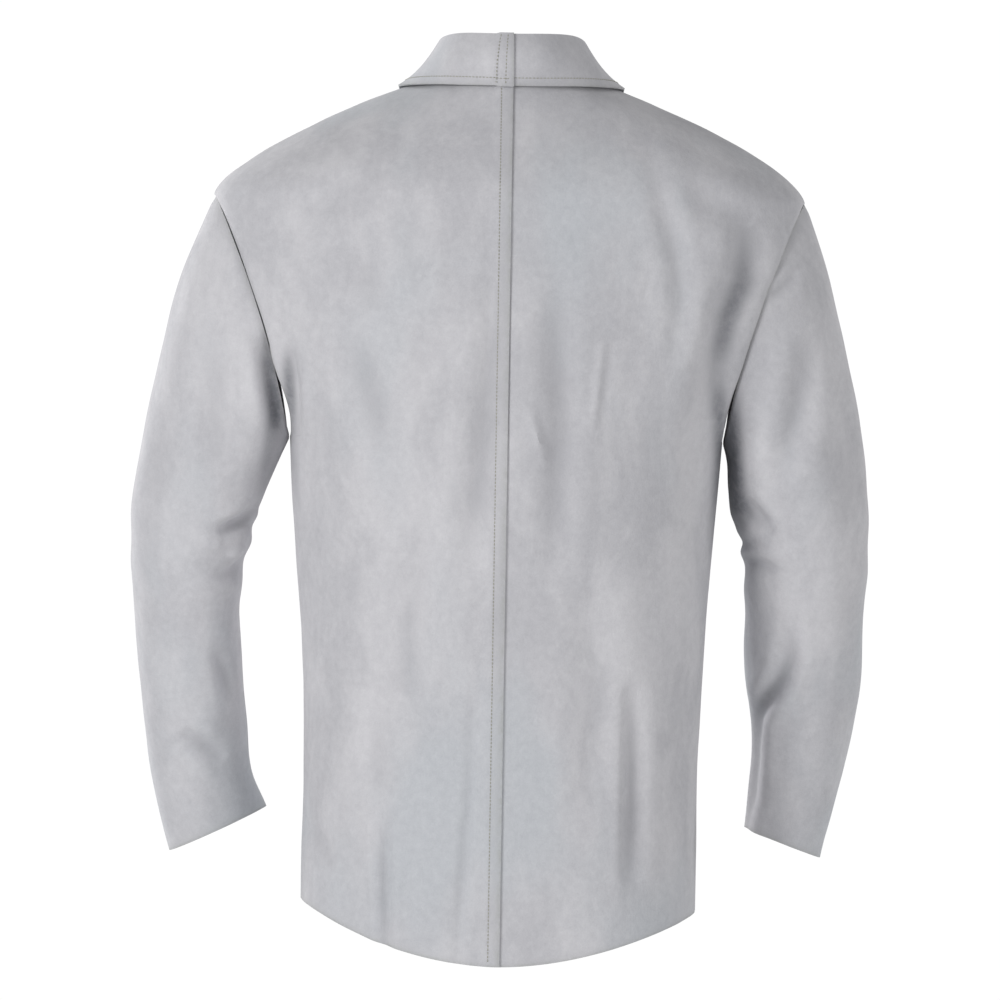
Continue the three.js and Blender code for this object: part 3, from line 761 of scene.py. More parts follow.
def cut_sheet(name: str, surface: Surface, plan: SheetPlan) -> Sheet:
    """Makes a leather or cloth sheet of even thickness on a surface.

    Args:
        name: Name of the piece.
        surface: What it lies on.
        plan: How it is cut.

    Returns:
        The sheet.
    """
    last = len(plan.rows) - 1
    bm = bmesh.new()
    bmesh.ops.create_grid(bm, x_segments=plan.columns, y_segments=last, size=0.5)
    bm.verts.ensure_lookup_table()
    flat = np.array([v.co for v in bm.verts])
    row = np.rint((flat[:, 1] + 0.5) * last).astype(int)
    share = flat[:, 0] + 0.5
    v = plan.rows[row]
    low, high = plan.ends(v)
    u = low + (high - low) * share
    points = surface.place(u, v)
    normals = surface.normal(u, v)
    outer = plan.outer(u, v) if callable(plan.outer) else np.full(len(u), plan.outer)
    if plan.relief:
        outer = outer + plan.relief.at(points, normals)
    points = points + normals * outer[:, None]
    order = np.lexsort((share, row))
    grid = points[order].reshape(last + 1, plan.columns + 1, 3)
    across = np.linalg.norm(np.diff(grid, axis=1), axis=2).sum(axis=1)
    along = np.linalg.norm(np.diff(grid, axis=0), axis=2).sum(axis=0)
    edge_layer, painted_shading_layer = bm.verts.layers.float.new("edge"), bm.verts.layers.float.new("tone")
    width_here, length_here = across[row], float(along.mean())
    reach = (
        share * width_here,
        (1.0 - share) * width_here,
        row / last * length_here,
        (1.0 - row / last) * length_here,
    )
    nearest = np.full(len(u), 1.0)
    for distance, real in zip(reach, plan.cut):
        if real:
            nearest = np.minimum(nearest, distance)
    # Painted shade and painted highlight of each point, kept as a mesh attribute for the material.
    painted_shadings = plan.relief.tone(points, normals) if plan.relief else np.zeros(len(u))
    outward = bm.verts.layers.float_vector.new("outward")
    for vert, point, normal, near, tone in zip(bm.verts, points, normals, nearest, painted_shadings):
        vert.co = point
        vert[outward] = normal
        vert[edge_layer] = float(np.exp(-near / EDGE_TINT_REACH))
        vert[painted_shading_layer] = float(tone)
    bm.normal_update()
    if sum(vert.normal.dot(Vector(normal)) for vert, normal in zip(bm.verts, normals)) < 0:
        bmesh.ops.reverse_faces(bm, faces=bm.faces[:])
    if plan.round:
        bmesh.ops.remove_doubles(bm, verts=bm.verts[:], dist=1e-6)
    bm.normal_update()
    area = sum(face.calc_area() for face in bm.faces)
    skin = bmesh.ops.extrude_face_region(bm, geom=bm.faces[:], use_keep_orig=True)
    for part in skin["geom"]:
        if isinstance(part, bmesh.types.BMVert):
            part.co -= part[outward] * plan.thickness
    bm.verts.layers.float_vector.remove(outward)
    bmesh.ops.recalc_face_normals(bm, faces=bm.faces[:])
    sharpen(bm)
    return Sheet(link(bm, name), float(across.max()), float(along.max()), area)


def stitch_row(
    name: str, route: Array, normals: Array, pitch: float, size: tuple[float, float], sink: float = 0.0
) -> bpy.types.Object:
    """A row of sewn stitches, each a short rounded length of thread.

    Args:
        name: Name of the piece.
        route: Points along the row, close together.
        normals: The leather's normals there.
        pitch: Distance from stitch to stitch.
        size: Length and thickness of a stitch.
        sink: How far the thread is pulled into the leather.

    Returns:
        The object.
    """
    steps = np.linalg.norm(np.diff(route, axis=0), axis=1)
    run = np.concatenate(([0.0], np.cumsum(steps)))
    count = int(run[-1] / pitch)
    at = (np.arange(count) + 0.5) * run[-1] / count
    bm = bmesh.new()
    for a in at:
        here = Vector([np.interp(a, run, route[:, k]) for k in range(3)])
        ahead = Vector([np.interp(a + pitch / 4, run, route[:, k]) for k in range(3)])
        behind = Vector([np.interp(a - pitch / 4, run, route[:, k]) for k in range(3)])
        up = Vector([np.interp(a, run, normals[:, k]) for k in range(3)]).normalized()
        along = (ahead - behind).normalized()
        side = up.cross(along).normalized()
        turn = Matrix((along, side, along.cross(side))).transposed().to_4x4()
        scale = Matrix.Diagonal((size[0] / 2, size[1] / 2, size[1] / 2.4, 1.0))
        where = Matrix.Translation(here + up * (size[1] * 0.25 - sink))
        bmesh.ops.create_uvsphere(bm, u_segments=6, v_segments=4, radius=1.0, matrix=where @ turn @ scale)
    for face in bm.faces:
        face.smooth = True
    return link(bm, name)


def turned_part(
    name: str, profile: Sequence[tuple[float, float]], where: Matrix, sides: int = 40
) -> bpy.types.Object:
    """A small metal part spun from its profile.

    Args:
        name: Name of the piece.
        profile: Points (radius, height) in millimetres, on the axis at both ends or closed.
        where: Place and turn of the part, its axis on Z.
        sides: Faces round the part.

    Returns:
        The object.
    """
    bm = bmesh.new()
    verts = [bm.verts.new((r * MM, 0.0, h * MM)) for r, h in profile]
    edges = [bm.edges.new(pair) for pair in zip(verts, verts[1:])]
    if profile[0] == profile[-1]:
        bmesh.ops.remove_doubles(bm, verts=bm.verts[:], dist=1e-7)
    bmesh.ops.spin(
        bm, geom=bm.verts[:] + bm.edges[:], axis=(0, 0, 1), cent=(0, 0, 0), angle=math.tau, steps=sides, use_merge=True
    )
    bmesh.ops.remove_doubles(bm, verts=bm.verts[:], dist=1e-6)
    bmesh.ops.recalc_face_normals(bm, faces=bm.faces[:])
    bm.transform(where)
    sharpen(bm, 50.0)
    return link(bm, name)


# ---------- Finishes ----------


class Graph:
    """Places and links the nodes of one node tree."""

    def __init__(self, tree: bpy.types.NodeTree) -> None:
        """Starts on an empty tree."""
        self.tree = tree
        self.tree.nodes.clear()

    def add(self, kind: str, inputs: dict[str | int, Any] | None = None, **settings: Any) -> bpy.types.Node:
        """Adds a node.

        Args:
            kind: The node's type name.
            inputs: A value or a socket to link for each input.
            **settings: The node's own settings.

        Returns:
            The node.
        """
        node = self.tree.nodes.new(kind)
        node.location = (len(self.tree.nodes) * 180, 0)
        for key, value in settings.items():
            setattr(node, key, value)
        for key, value in (inputs or {}).items():
            if isinstance(value, bpy.types.NodeSocket):
                self.tree.links.new(value, node.inputs[key])
            else:
                node.inputs[key].default_value = value
        return node

    def mix(self, share: Any, a: Any, b: Any, blend: str = "MIX") -> bpy.types.NodeSocket:
        """Mixes two colours and returns the colour socket."""
        node = self.add("ShaderNodeMix", {0: share, 6: a, 7: b}, data_type="RGBA", blend_type=blend)
        return node.outputs[2]

    def math(self, operation: str, a: Any, b: Any = 0.0) -> bpy.types.NodeSocket:
        """One sum and returns its socket."""
        return self.add("ShaderNodeMath", {0: a, 1: b}, operation=operation).outputs[0]

    def ramp(self, value: Any, low: float, high: float) -> bpy.types.NodeSocket:
        """Spreads values from low to high over 0 to 1, and returns the socket."""
        node = self.add("ShaderNodeMapRange", {0: value, 1: low, 2: high, 3: 0.0, 4: 1.0})
        node.interpolation_type = "SMOOTHSTEP"
        return node.outputs[0]

    def noise(self, vector: Any, scale: Any, detail: float, roughness: float) -> bpy.types.NodeSocket:
        """Noise from 0 to 1, and returns the socket."""
        node = self.add(
            "ShaderNodeTexNoise", {"Vector": vector, "Scale": scale, "Detail": detail, "Roughness": roughness}
        )
        return node.outputs[0]


def new_group(
    name: str, inputs: dict[str, tuple[str, Any]], outputs: dict[str, str]
) -> tuple[Graph, Any, Any]:
    """Starts a shader node group.

    Args:
        name: The group's name.
        inputs: Socket kind and value for each input.
        outputs: Socket kind for each output.

    Returns:
        The group's graph, its input node and its output node.
    """
    tree = bpy.data.node_groups.new(name, "ShaderNodeTree")
    for key, (kind, value) in inputs.items():
        socket = tree.interface.new_socket(name=key, in_out="INPUT", socket_type=kind)
        socket.default_value = value
    for key, kind in outputs.items():
        tree.interface.new_socket(name=key, in_out="OUTPUT", socket_type=kind)
    graph = Graph(tree)
    return graph, graph.add("NodeGroupInput"), graph.add("NodeGroupOutput")


COLOR, FLOAT = "NodeSocketColor", "NodeSocketFloat"


def nap_group() -> bpy.types.NodeTree:
    """The surface of split leather: clouds of colour, brushed nap, pores, a darker tint near cut edges, and painted
    shade and painted highlight from the shading input.
    """
    g, given, out = new_group(
        "SplitLeatherNap",
        {
            "Pale": (COLOR, (0.6, 0.6, 0.6, 1)),
            "Shade": (COLOR, (0.5, 0.5, 0.5, 1)),
            "Cool": (COLOR, (0.5, 0.5, 0.55, 1)),
            "Edge Tint": (COLOR, (0.4, 0.4, 0.35, 1)),
            "Cloud Scale": (FLOAT, 18.0),
            "Nap Scale": (FLOAT, 700.0),
            "Edge": (FLOAT, 0.0),
            "Tone": (FLOAT, 0.0),
        },
        {"Color": COLOR, "Roughness": FLOAT, "Height": FLOAT},
    )
    where = g.add("ShaderNodeTexCoord").outputs["Object"]
    brushed = g.add("ShaderNodeMapping", {"Vector": where, "Scale": (1.0, 1.0, 0.45)}).outputs[0]
    warp = g.add("ShaderNodeTexNoise", {"Vector": where, "Scale": 9.0, "Detail": 2.0}).outputs["Color"]
    warped = g.add("ShaderNodeMix", {0: 0.055, 4: brushed, 5: warp}, data_type="VECTOR").outputs[1]
    clouds = g.noise(warped, given.outputs["Cloud Scale"], 5.0, 0.62)
    drift = g.noise(brushed, g.math("MULTIPLY", given.outputs["Cloud Scale"], 0.42), 3.0, 0.5)
    base = g.mix(g.ramp(clouds, 0.34, 0.66), given.outputs["Shade"], given.outputs["Pale"])
    base = g.mix(g.ramp(drift, 0.46, 0.68), base, given.outputs["Cool"])
    speck = g.noise(where, g.math("MULTIPLY", given.outputs["Cloud Scale"], 9.0), 4.0, 0.7)
    base = g.mix(0.30, base, g.mix(speck, (0.0, 0.0, 0.0, 1), (1.0, 1.0, 1.0, 1)), "SOFT_LIGHT")
    nap = g.noise(where, given.outputs["Nap Scale"], 3.0, 0.7)
    base = g.mix(0.22, base, g.mix(nap, (0.0, 0.0, 0.0, 1), (1.0, 1.0, 1.0, 1)), "SOFT_LIGHT")
    # A darker olive tint near cut edges, broken up by the specks.
    edge_tint_share = g.math("MULTIPLY", g.math("MULTIPLY", given.outputs["Edge"], 0.6), g.ramp(speck, 0.2, 0.7))
    base = g.mix(edge_tint_share, base, given.outputs["Edge Tint"])
    # Painted shade, darker in fold valleys and in the painted shadows under the arms; then painted highlight, paler on
    # fold crests.
    painted_shade = g.math("MULTIPLY", given.outputs["Tone"], g.math("ADD", g.math("MULTIPLY", speck, 0.9), 0.55))
    base = g.mix(g.ramp(painted_shade, 0.0, 1.0), base, g.mix(1.0, base, (0.30, 0.31, 0.33, 1), "MULTIPLY"))
    painted_highlight = g.ramp(g.math("MULTIPLY", given.outputs["Tone"], -1.0), 0.0, 1.0)
    base = g.mix(painted_highlight, base, (0.72, 0.72, 0.74, 1))
    rough = g.math("ADD", g.math("MULTIPLY", clouds, 0.12), 0.84)
    creases = g.noise(warped, g.math("MULTIPLY", given.outputs["Cloud Scale"], 3.2), 4.0, 0.55)
    height = g.math("ADD", g.math("MULTIPLY", nap, 0.22), g.math("MULTIPLY", creases, 1.0))
    height = g.math("ADD", height, g.math("MULTIPLY", speck, 0.35))
    for key, value in (("Color", base), ("Roughness", rough), ("Height", height)):
        g.tree.links.new(value, out.inputs[key])
    return g.tree


def weave_group() -> bpy.types.NodeTree:
    """Crossed yarns, for tape, label and thread."""
    g, given, out = new_group(
        "Weave",
        {
            "Yarn": (COLOR, (0.5, 0.5, 0.5, 1)),
            "Gap": (COLOR, (0.2, 0.2, 0.2, 1)),
            "Yarn Scale": (FLOAT, 900.0),
        },
        {"Color": COLOR, "Height": FLOAT},
    )
    where = g.add("ShaderNodeTexCoord").outputs["Object"]
    waves = []
    for direction in ("X", "Z"):
        wave = g.add(
            "ShaderNodeTexWave",
            {"Vector": where, "Scale": given.outputs["Yarn Scale"], "Distortion": 0.4},
            bands_direction=direction,
        )
        waves.append(wave.outputs["Fac"])
    both = g.math("MULTIPLY", waves[0], waves[1])
    fuzz = g.noise(where, 2200.0, 2.0, 0.6)
    height = g.math("ADD", both, g.math("MULTIPLY", fuzz, 0.3))
    g.tree.links.new(
        g.mix(g.ramp(height, 0.1, 0.8), given.outputs["Gap"], given.outputs["Yarn"]), out.inputs["Color"]
    )
    g.tree.links.new(height, out.inputs["Height"])
    return g.tree


@dataclass(frozen=True)
class SuedeFinish:
    """Split leather with a brushed nap."""

    name: str
    pale: tuple[float, float, float]
    shade: tuple[float, float, float]
    cool: tuple[float, float, float]
    edge: tuple[float, float, float]
    cloud_scale: float = 17.0
    nap_scale: float = 750.0
    relief: float = 0.0009
    sheen: float = 0.12

    def build(self, group: bpy.types.NodeTree) -> bpy.types.Material:
        """Makes the material.

        Args:
            group: The nap's node group.

        Returns:
            The material.
        """
        material = bpy.data.materials.new(self.name)
        material.use_nodes = True
        g = Graph(material.node_tree)
        edge = g.add("ShaderNodeAttribute", attribute_name="edge").outputs["Fac"]
        nap = g.add("ShaderNodeGroup", node_tree=group)
        values = {
            "Pale": (*self.pale, 1),
            "Shade": (*self.shade, 1),
            "Cool": (*self.cool, 1),
            "Edge Tint": (*self.edge, 1),
            "Cloud Scale": self.cloud_scale,
            "Nap Scale": self.nap_scale,
        }
        for key, value in values.items():
            nap.inputs[key].default_value = value
        g.tree.links.new(edge, nap.inputs["Edge"])
        # Painted shade and highlight, read from the mesh attribute.
        tone = g.add("ShaderNodeAttribute", attribute_name="tone").outputs["Fac"]
        g.tree.links.new(tone, nap.inputs["Tone"])
        bump = g.add(
            "ShaderNodeBump", {"Height": nap.outputs["Height"], "Distance": self.relief, "Strength": 0.75}
        )
        shader = g.add(
            "ShaderNodeBsdfPrincipled",
            {
                "Base Color": nap.outputs["Color"],
                "Roughness": nap.outputs["Roughness"],
                "Normal": bump.outputs[0],
                "Specular IOR Level": 0.18,
                "Sheen Weight": self.sheen,
                "Sheen Roughness": 0.6,
            },
        )
        g.add("ShaderNodeOutputMaterial", {"Surface": shader.outputs[0]})
        return material


@dataclass(frozen=True)
class WovenFinish:
    """Cloth or thread."""

    name: str
    yarn: tuple[float, float, float]
    gap: tuple[float, float, float]
    yarn_scale: float
    relief: float = 0.0002

    def build(self, group: bpy.types.NodeTree) -> bpy.types.Material:
        """Makes the material.

        Args:
            group: The weave's node group.

        Returns:
            The material.
        """
        material = bpy.data.materials.new(self.name)
        material.use_nodes = True
        g = Graph(material.node_tree)
        weave = g.add("ShaderNodeGroup", node_tree=group)
        for key, value in (
            ("Yarn", (*self.yarn, 1)), ("Gap", (*self.gap, 1)), ("Yarn Scale", self.yarn_scale)
        ):
            weave.inputs[key].default_value = value
        bump = g.add(
            "ShaderNodeBump", {"Height": weave.outputs["Height"], "Distance": self.relief, "Strength": 0.6}
        )
        shader = g.add(
            "ShaderNodeBsdfPrincipled",
            {
                "Base Color": weave.outputs["Color"],
                "Normal": bump.outputs[0],
                "Roughness": 0.85,
                "Specular IOR Level": 0.2,
            },
        )
        g.add("ShaderNodeOutputMaterial", {"Surface": shader.outputs[0]})
        return material


@dataclass(frozen=True)
class PlateFinish:
    """Dull plated metal, worn brighter on its high spots."""

    name: str
    metal: tuple[float, float, float]
    dull: tuple[float, float, float]

    def build(self) -> bpy.types.Material:
        """Makes the material."""
        material = bpy.data.materials.new(self.name)
        material.use_nodes = True
        g = Graph(material.node_tree)
        where = g.add("ShaderNodeTexCoord").outputs["Object"]
        tarnish = g.noise(where, 420.0, 4.0, 0.65)
        scratch = g.noise(
            g.add("ShaderNodeMapping", {"Vector": where, "Scale": (1, 1, 9)}).outputs[0], 1600.0, 2.0, 0.5
        )
        colour = g.mix(g.ramp(tarnish, 0.35, 0.7), (*self.dull, 1), (*self.metal, 1))
        rough = g.math("ADD", g.math("MULTIPLY", tarnish, 0.3), 0.2)
        bump = g.add("ShaderNodeBump", {"Height": scratch, "Distance": 0.00004, "Strength": 0.4})
        shader = g.add(
            "ShaderNodeBsdfPrincipled",
            {"Base Color": colour, "Roughness": rough, "Normal": bump.outputs[0], "Metallic": 1.0},
        )
        g.add("ShaderNodeOutputMaterial", {"Surface": shader.outputs[0]})
        return material


@dataclass
class Finishes:
    """The jacket's materials, built once."""

    made: dict[str, bpy.types.Material] = field(default_factory=dict)

    def build(self) -> "Finishes":
        """Builds every material."""
        nap, weave = nap_group(), weave_group()
        outer = SuedeFinish(
            "outer_suede", (0.585, 0.580, 0.605), (0.490, 0.488, 0.515), (0.500, 0.515, 0.545), (0.30, 0.31, 0.29)
        )
        inner = SuedeFinish(
            "inner_suede", (0.46, 0.45, 0.45), (0.36, 0.352, 0.356), (0.40, 0.40, 0.42), (0.26, 0.26, 0.25),
            cloud_scale=24.0, nap_scale=520.0, relief=0.0014, sheen=0.2,
        )
        self.made = {
            "outer": outer.build(nap),
            "inner": inner.build(nap),
            "tape": WovenFinish(
                "neck_tape_cloth", (0.12, 0.125, 0.14), (0.03, 0.03, 0.035), 420.0
            ).build(weave),
            "label": WovenFinish("label_cloth", (0.72, 0.71, 0.67), (0.5, 0.49, 0.46), 620.0).build(weave),
            "thread": WovenFinish(
                "sewing_thread", (0.56, 0.55, 0.47), (0.34, 0.34, 0.28), 1500.0
            ).build(weave),
            "metal": PlateFinish("snap_plate", (0.62, 0.60, 0.56), (0.36, 0.345, 0.32)).build(),
        }
        return self

    def dress(self, piece: bpy.types.Object, key: str, slot: Slot) -> None:
        """Gives a piece its material."""
        piece.data.materials.append(self.made[key])


# ---------- Sub-assemblies ----------


@dataclass
class Maker:
    """What every sub-assembly shares."""

    body: BodyForm
    finishes: Finishes
    leather: float = 1.6 * MM
    lining: float = 1.2 * MM
    layer_gap: float = 0.6 * MM
    stitch: tuple[float, float] = (2.4 * MM, 0.95 * MM)
    pitch: float = 3.1 * MM

    @property
    def inside_face(self) -> float:
        """Offset of the first sheet inside the leather."""
        return -self.leather - self.layer_gap

    def front_blend(self, piece: bpy.types.Object, side: Side, out: float = 0.0, half: float = 0.022) -> None:
        """Bakes a piece's placement into its mesh; the piece is not bent where a front folds open.

        Args:
            piece: The piece.
            side: Which front.
            out: Not used.
            half: Not used.
        """
        form = self.body
        lean = Vector((-(form.back_length), 0.0, -(form.fold_at_hem - form.fold_at_neck))).normalized()
        lean.x *= side.value
        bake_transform(piece)

    def row_of_stitches(
        self, name: str, surface: Surface, u: Array, v: Array, lift: float, relief: Relief | None
    ) -> bpy.types.Object:
        """Sews a row of stitches on a sheet.

        Args:
            name: Name of the piece.
            surface: The sheet's surface.
            u: First coordinates along the row.
            v: Second coordinates along the row.
            lift: Offset of the sheet's outer face.
            relief: The sheet's relief.

        Returns:
            The row.
        """
        points, normals = surface.place(u, v), surface.normal(u, v)
        out = np.full(len(u), lift)
        if relief:
            out = out + relief.at(points, normals)
        row = stitch_row(name, points + normals * out[:, None], normals, self.pitch, self.stitch, 0.12 * MM)
        self.finishes.dress(row, "thread", Slot.OUTER)
        return row


@dataclass
class BackPanels:
    """The two halves of the back, the left lapped over the right and topstitched."""

    maker: Maker
    lap_over: float = 1.5 * MM
    lap_under: float = 12.0 * MM
    ramp: tuple[float, float] = (11.0 * MM, 15.0 * MM)
    stitch_in: float = 8.5 * MM
    columns: int = 92
    spacing: float = 3.0 * MM

    def lap_lift(self, turn: Array, level: Array) -> Array:
        """How far the left half stands up where it laps over the right one."""
        body = self.maker.body
        from_middle = body.place(turn, level)[:, 0] - body.middle[0]
        full = self.maker.leather + 0.15 * MM
        return full * (1.0 - smooth(from_middle, *self.ramp))

    def seam_dip(self, turn: Array, level: Array) -> Array:
        """How far the leather is drawn in where it meets another panel at its side edge."""
        body = self.maker.body
        gap = np.radians(body.side_edge(level) - np.abs(turn)) * body.half_depth(level)
        return -1.5 * MM * np.exp(-((gap / (4.0 * MM)) ** 2))

    def build(self) -> None:
        """Makes both halves and their topstitching."""
        maker, body = self.maker, self.maker.body
        relief = Relief(body, BODY_FOLDS, BODY_PAINTED_SHADOWS, seed=3.0)
        rows = body.rows(self.spacing)
        plans = {
            Side.LEFT: (
                lambda v: (-body.side_edge(v), body.turn_at(self.lap_over, v)),
                lambda u, v: self.lap_lift(u, v) + self.seam_dip(u, v),
            ),
            Side.RIGHT: (lambda v: (-body.turn_at(self.lap_under, v), body.side_edge(v)), self.seam_dip),
        }
        for side, (ends, outer) in plans.items():
            plan = SheetPlan(rows, ends, self.columns, maker.leather, outer, relief)
            sheet = cut_sheet(f"back_{side.word}_half", body.surface(), plan)
            maker.finishes.dress(sheet.piece, "outer", Slot.OUTER)
            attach(sheet.piece, "torso")
            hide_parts(f"back_panel_{side.word}")
            sheet.declare("hung", ["collar_stand_left_half"])
        levels = np.linspace(4 * MM, body.back_length - 2 * MM, 500)
        turns = -body.turn_at(self.stitch_in, levels)
        row = maker.row_of_stitches(
            "back_seam_stitches", body.surface(), turns, levels, maker.leather + 0.15 * MM, relief
        )
        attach(row, "torso")


@dataclass
class Fronts:
    """The two fronts with their facings: the left laps over the right."""

    maker: Maker
    columns: int = 84
    spacing: float = 3.4 * MM
    facing_width: float = 0.030
    facing_inset: float = 3.0 * MM
    stitch_in: float = 6.0 * MM

    def build(self) -> None:
        """Makes both fronts, their facings and their edge stitching."""
        for side in Side:
            self.front(side)

    def seam_dip(self, turn: Array, level: Array) -> Array:
        """How far the leather is drawn in at the side, armhole and shoulder seams."""
        body = self.maker.body
        gap = np.radians(np.abs(turn) - 180.0 + body.side_edge(level)) * body.half_depth(level)
        return -1.5 * MM * np.exp(-((gap / (4.0 * MM)) ** 2))

    def front(self, side: Side) -> None:
        """Makes one front."""
        maker, body = self.maker, self.maker.body
        surface = body.set_in(side)
        relief = Relief(body, FRONT_FOLDS, swell=1.0, ripple=0.35, seed=11.0)
        sign = -side.value

        def ordered(near: Array, far: Array) -> tuple[Array, Array]:
            """The two ends, low first, on either side."""
            return (near, far) if sign > 0 else (-far, -near)

        rows = body.rows(self.spacing)
        plan = SheetPlan(
            rows,
            lambda v: ordered(180.0 - body.side_edge(v), 180.0 + body.turn_at(body.lap, v)),
            self.columns,
            maker.leather,
            self.seam_dip,
            relief,
        )
        sheet = cut_sheet(f"{side.word}_front_leather", surface, plan)
        maker.finishes.dress(sheet.piece, "outer", Slot.OUTER)
        maker.front_blend(sheet.piece, side)
        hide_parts(f"front_side_{side.word}", f"front_flap_{side.word}")
        sheet.declare("hung", ["collar_stand_left_half"])

        inset_rows = np.clip(rows, self.facing_inset, body.back_length - self.facing_inset)
        facing_rows = np.unique(inset_rows)
        facing_plan = SheetPlan(
            facing_rows,
            lambda v: ordered(
                180.0 - body.turn_at(self.facing_width, v), 180.0 + body.turn_at(
                    body.lap - self.facing_inset, v
                )
            ),
            22,
            maker.lining,
            maker.inside_face,
            relief,
        )
        facing = cut_sheet(f"{side.word}_front_lining_strip", surface, facing_plan)
        maker.finishes.dress(facing.piece, "inner", Slot.INNER)
        maker.front_blend(facing.piece, side)
        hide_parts(f"front_facing_{side.word}")
        facing.declare("hung", [sheet.piece.name])

        levels = np.linspace(4 * MM, body.back_length - 4 * MM, 460)
        turns = sign * (180.0 + body.turn_at(body.lap - self.stitch_in, levels))
        row = maker.row_of_stitches(f"{side.word}_front_stitches", surface, turns, levels, 0.0, relief)
        maker.front_blend(row, side)


@dataclass
class Sleeve:
    """One sleeve and its cuff facing, the sleeve cut in two above the elbow."""

    maker: Maker
    form: SleeveForm
    folds: tuple[Fold, ...]
    # Painted shadows under this sleeve's arm.
    strokes: tuple[Fold, ...]
    seed: float
    columns: int = 126
    split: float = 6.0
    blend_length: float = 0.050
    facing_top: float = 0.9

    def elbow_swell(self, station: Array) -> Array:
        """Extra buckling of the leather about the elbow."""
        return np.exp(-(((station - 5.3) / 1.0) ** 2))

    def build(self) -> None:
        """Makes the sleeve's leather and its cuff facing."""
        maker, form, side = self.maker, self.form, self.form.side
        body = maker.body
        surface = form.surface()
        relief = Relief(body, self.folds, self.strokes, swell=2.2, ripple=0.8, seed=self.seed)
        word = side.word
        mx, my = body.middle

        def whole(v: Array) -> tuple[Array, Array]:
            """The full turn of a tube."""
            return np.full(len(v), -180.0), np.full(len(v), 180.0)

        def outer(u: Array, v: Array) -> Array:
            """Offset of the leather, with the elbow creases."""
            fade = form.top - v
            turned = v * BUCKLES_PER_STATION + 1.6 * np.cos(np.radians(u))
            buckle = BUCKLE_HEIGHT * self.elbow_swell(v) * np.sin(turned)
            inner_side = 0.5 - 0.5 * np.cos(np.radians(u))
            return -1.5 * MM * np.exp(-((fade / 0.09) ** 2)) + buckle * (0.25 + 0.75 * inner_side)

        upper_rows = np.linspace(self.split, form.top, 96)
        lower_rows = np.linspace(0.0, self.split, 118)
        upper = cut_sheet(
            f"{word}_sleeve_head", surface, SheetPlan(
                upper_rows,
                whole,
                self.columns,
                maker.leather,
                outer,
                relief,
                True,
                (False, False, False, True),
            )
        )
        lower = cut_sheet(
            f"{word}_sleeve_arm", surface, SheetPlan(
                lower_rows,
                whole,
                self.columns,
                maker.leather,
                outer,
                relief,
                True,
                (False, False, True, False),
            )
        )
        for sheet in (upper, lower):
            maker.finishes.dress(sheet.piece, "outer", Slot.OUTER)
        tip, under = body.armhole(np.array([0.0, 180.0]))
        run = Vector(tip - under).normalized()
        away = Vector((run.z, 0.0, -run.x))
        start = Vector((tip + under) / 2)
        end = start + away * self.blend_length
        for point in (start, end):
            point.x = point.x * side.value + mx
        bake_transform(upper.piece)
        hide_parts(f"sleeve_upper_{word}")
        upper.declare("hung", [f"back_{word}_half"])
        low = Vector(form.place(np.array([0.0, 180.0]), np.array([4.15, 4.15])).mean(axis=0))
        high = Vector(form.place(np.array([0.0, 180.0]), np.array([5.85, 5.85])).mean(axis=0))
        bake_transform(lower.piece)
        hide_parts(f"sleeve_elbow_{word}", f"sleeve_forearm_{word}")
        lower.declare("hung", [upper.piece.name])
        facing = cut_sheet(
            f"{word}_cuff_lining_strip",
            surface,
            SheetPlan(
                np.linspace(0.05, self.facing_top, 18), whole, self.columns, maker.lining,
                lambda u, v: outer(u, v) + maker.inside_face, relief, True, (False, False, True, True),
            ),
        )
        maker.finishes.dress(facing.piece, "inner", Slot.INNER)
        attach(facing.piece, f"{word}_forearm")
        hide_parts(f"cuff_facing_{word}")
        facing.declare("hung", [lower.piece.name])


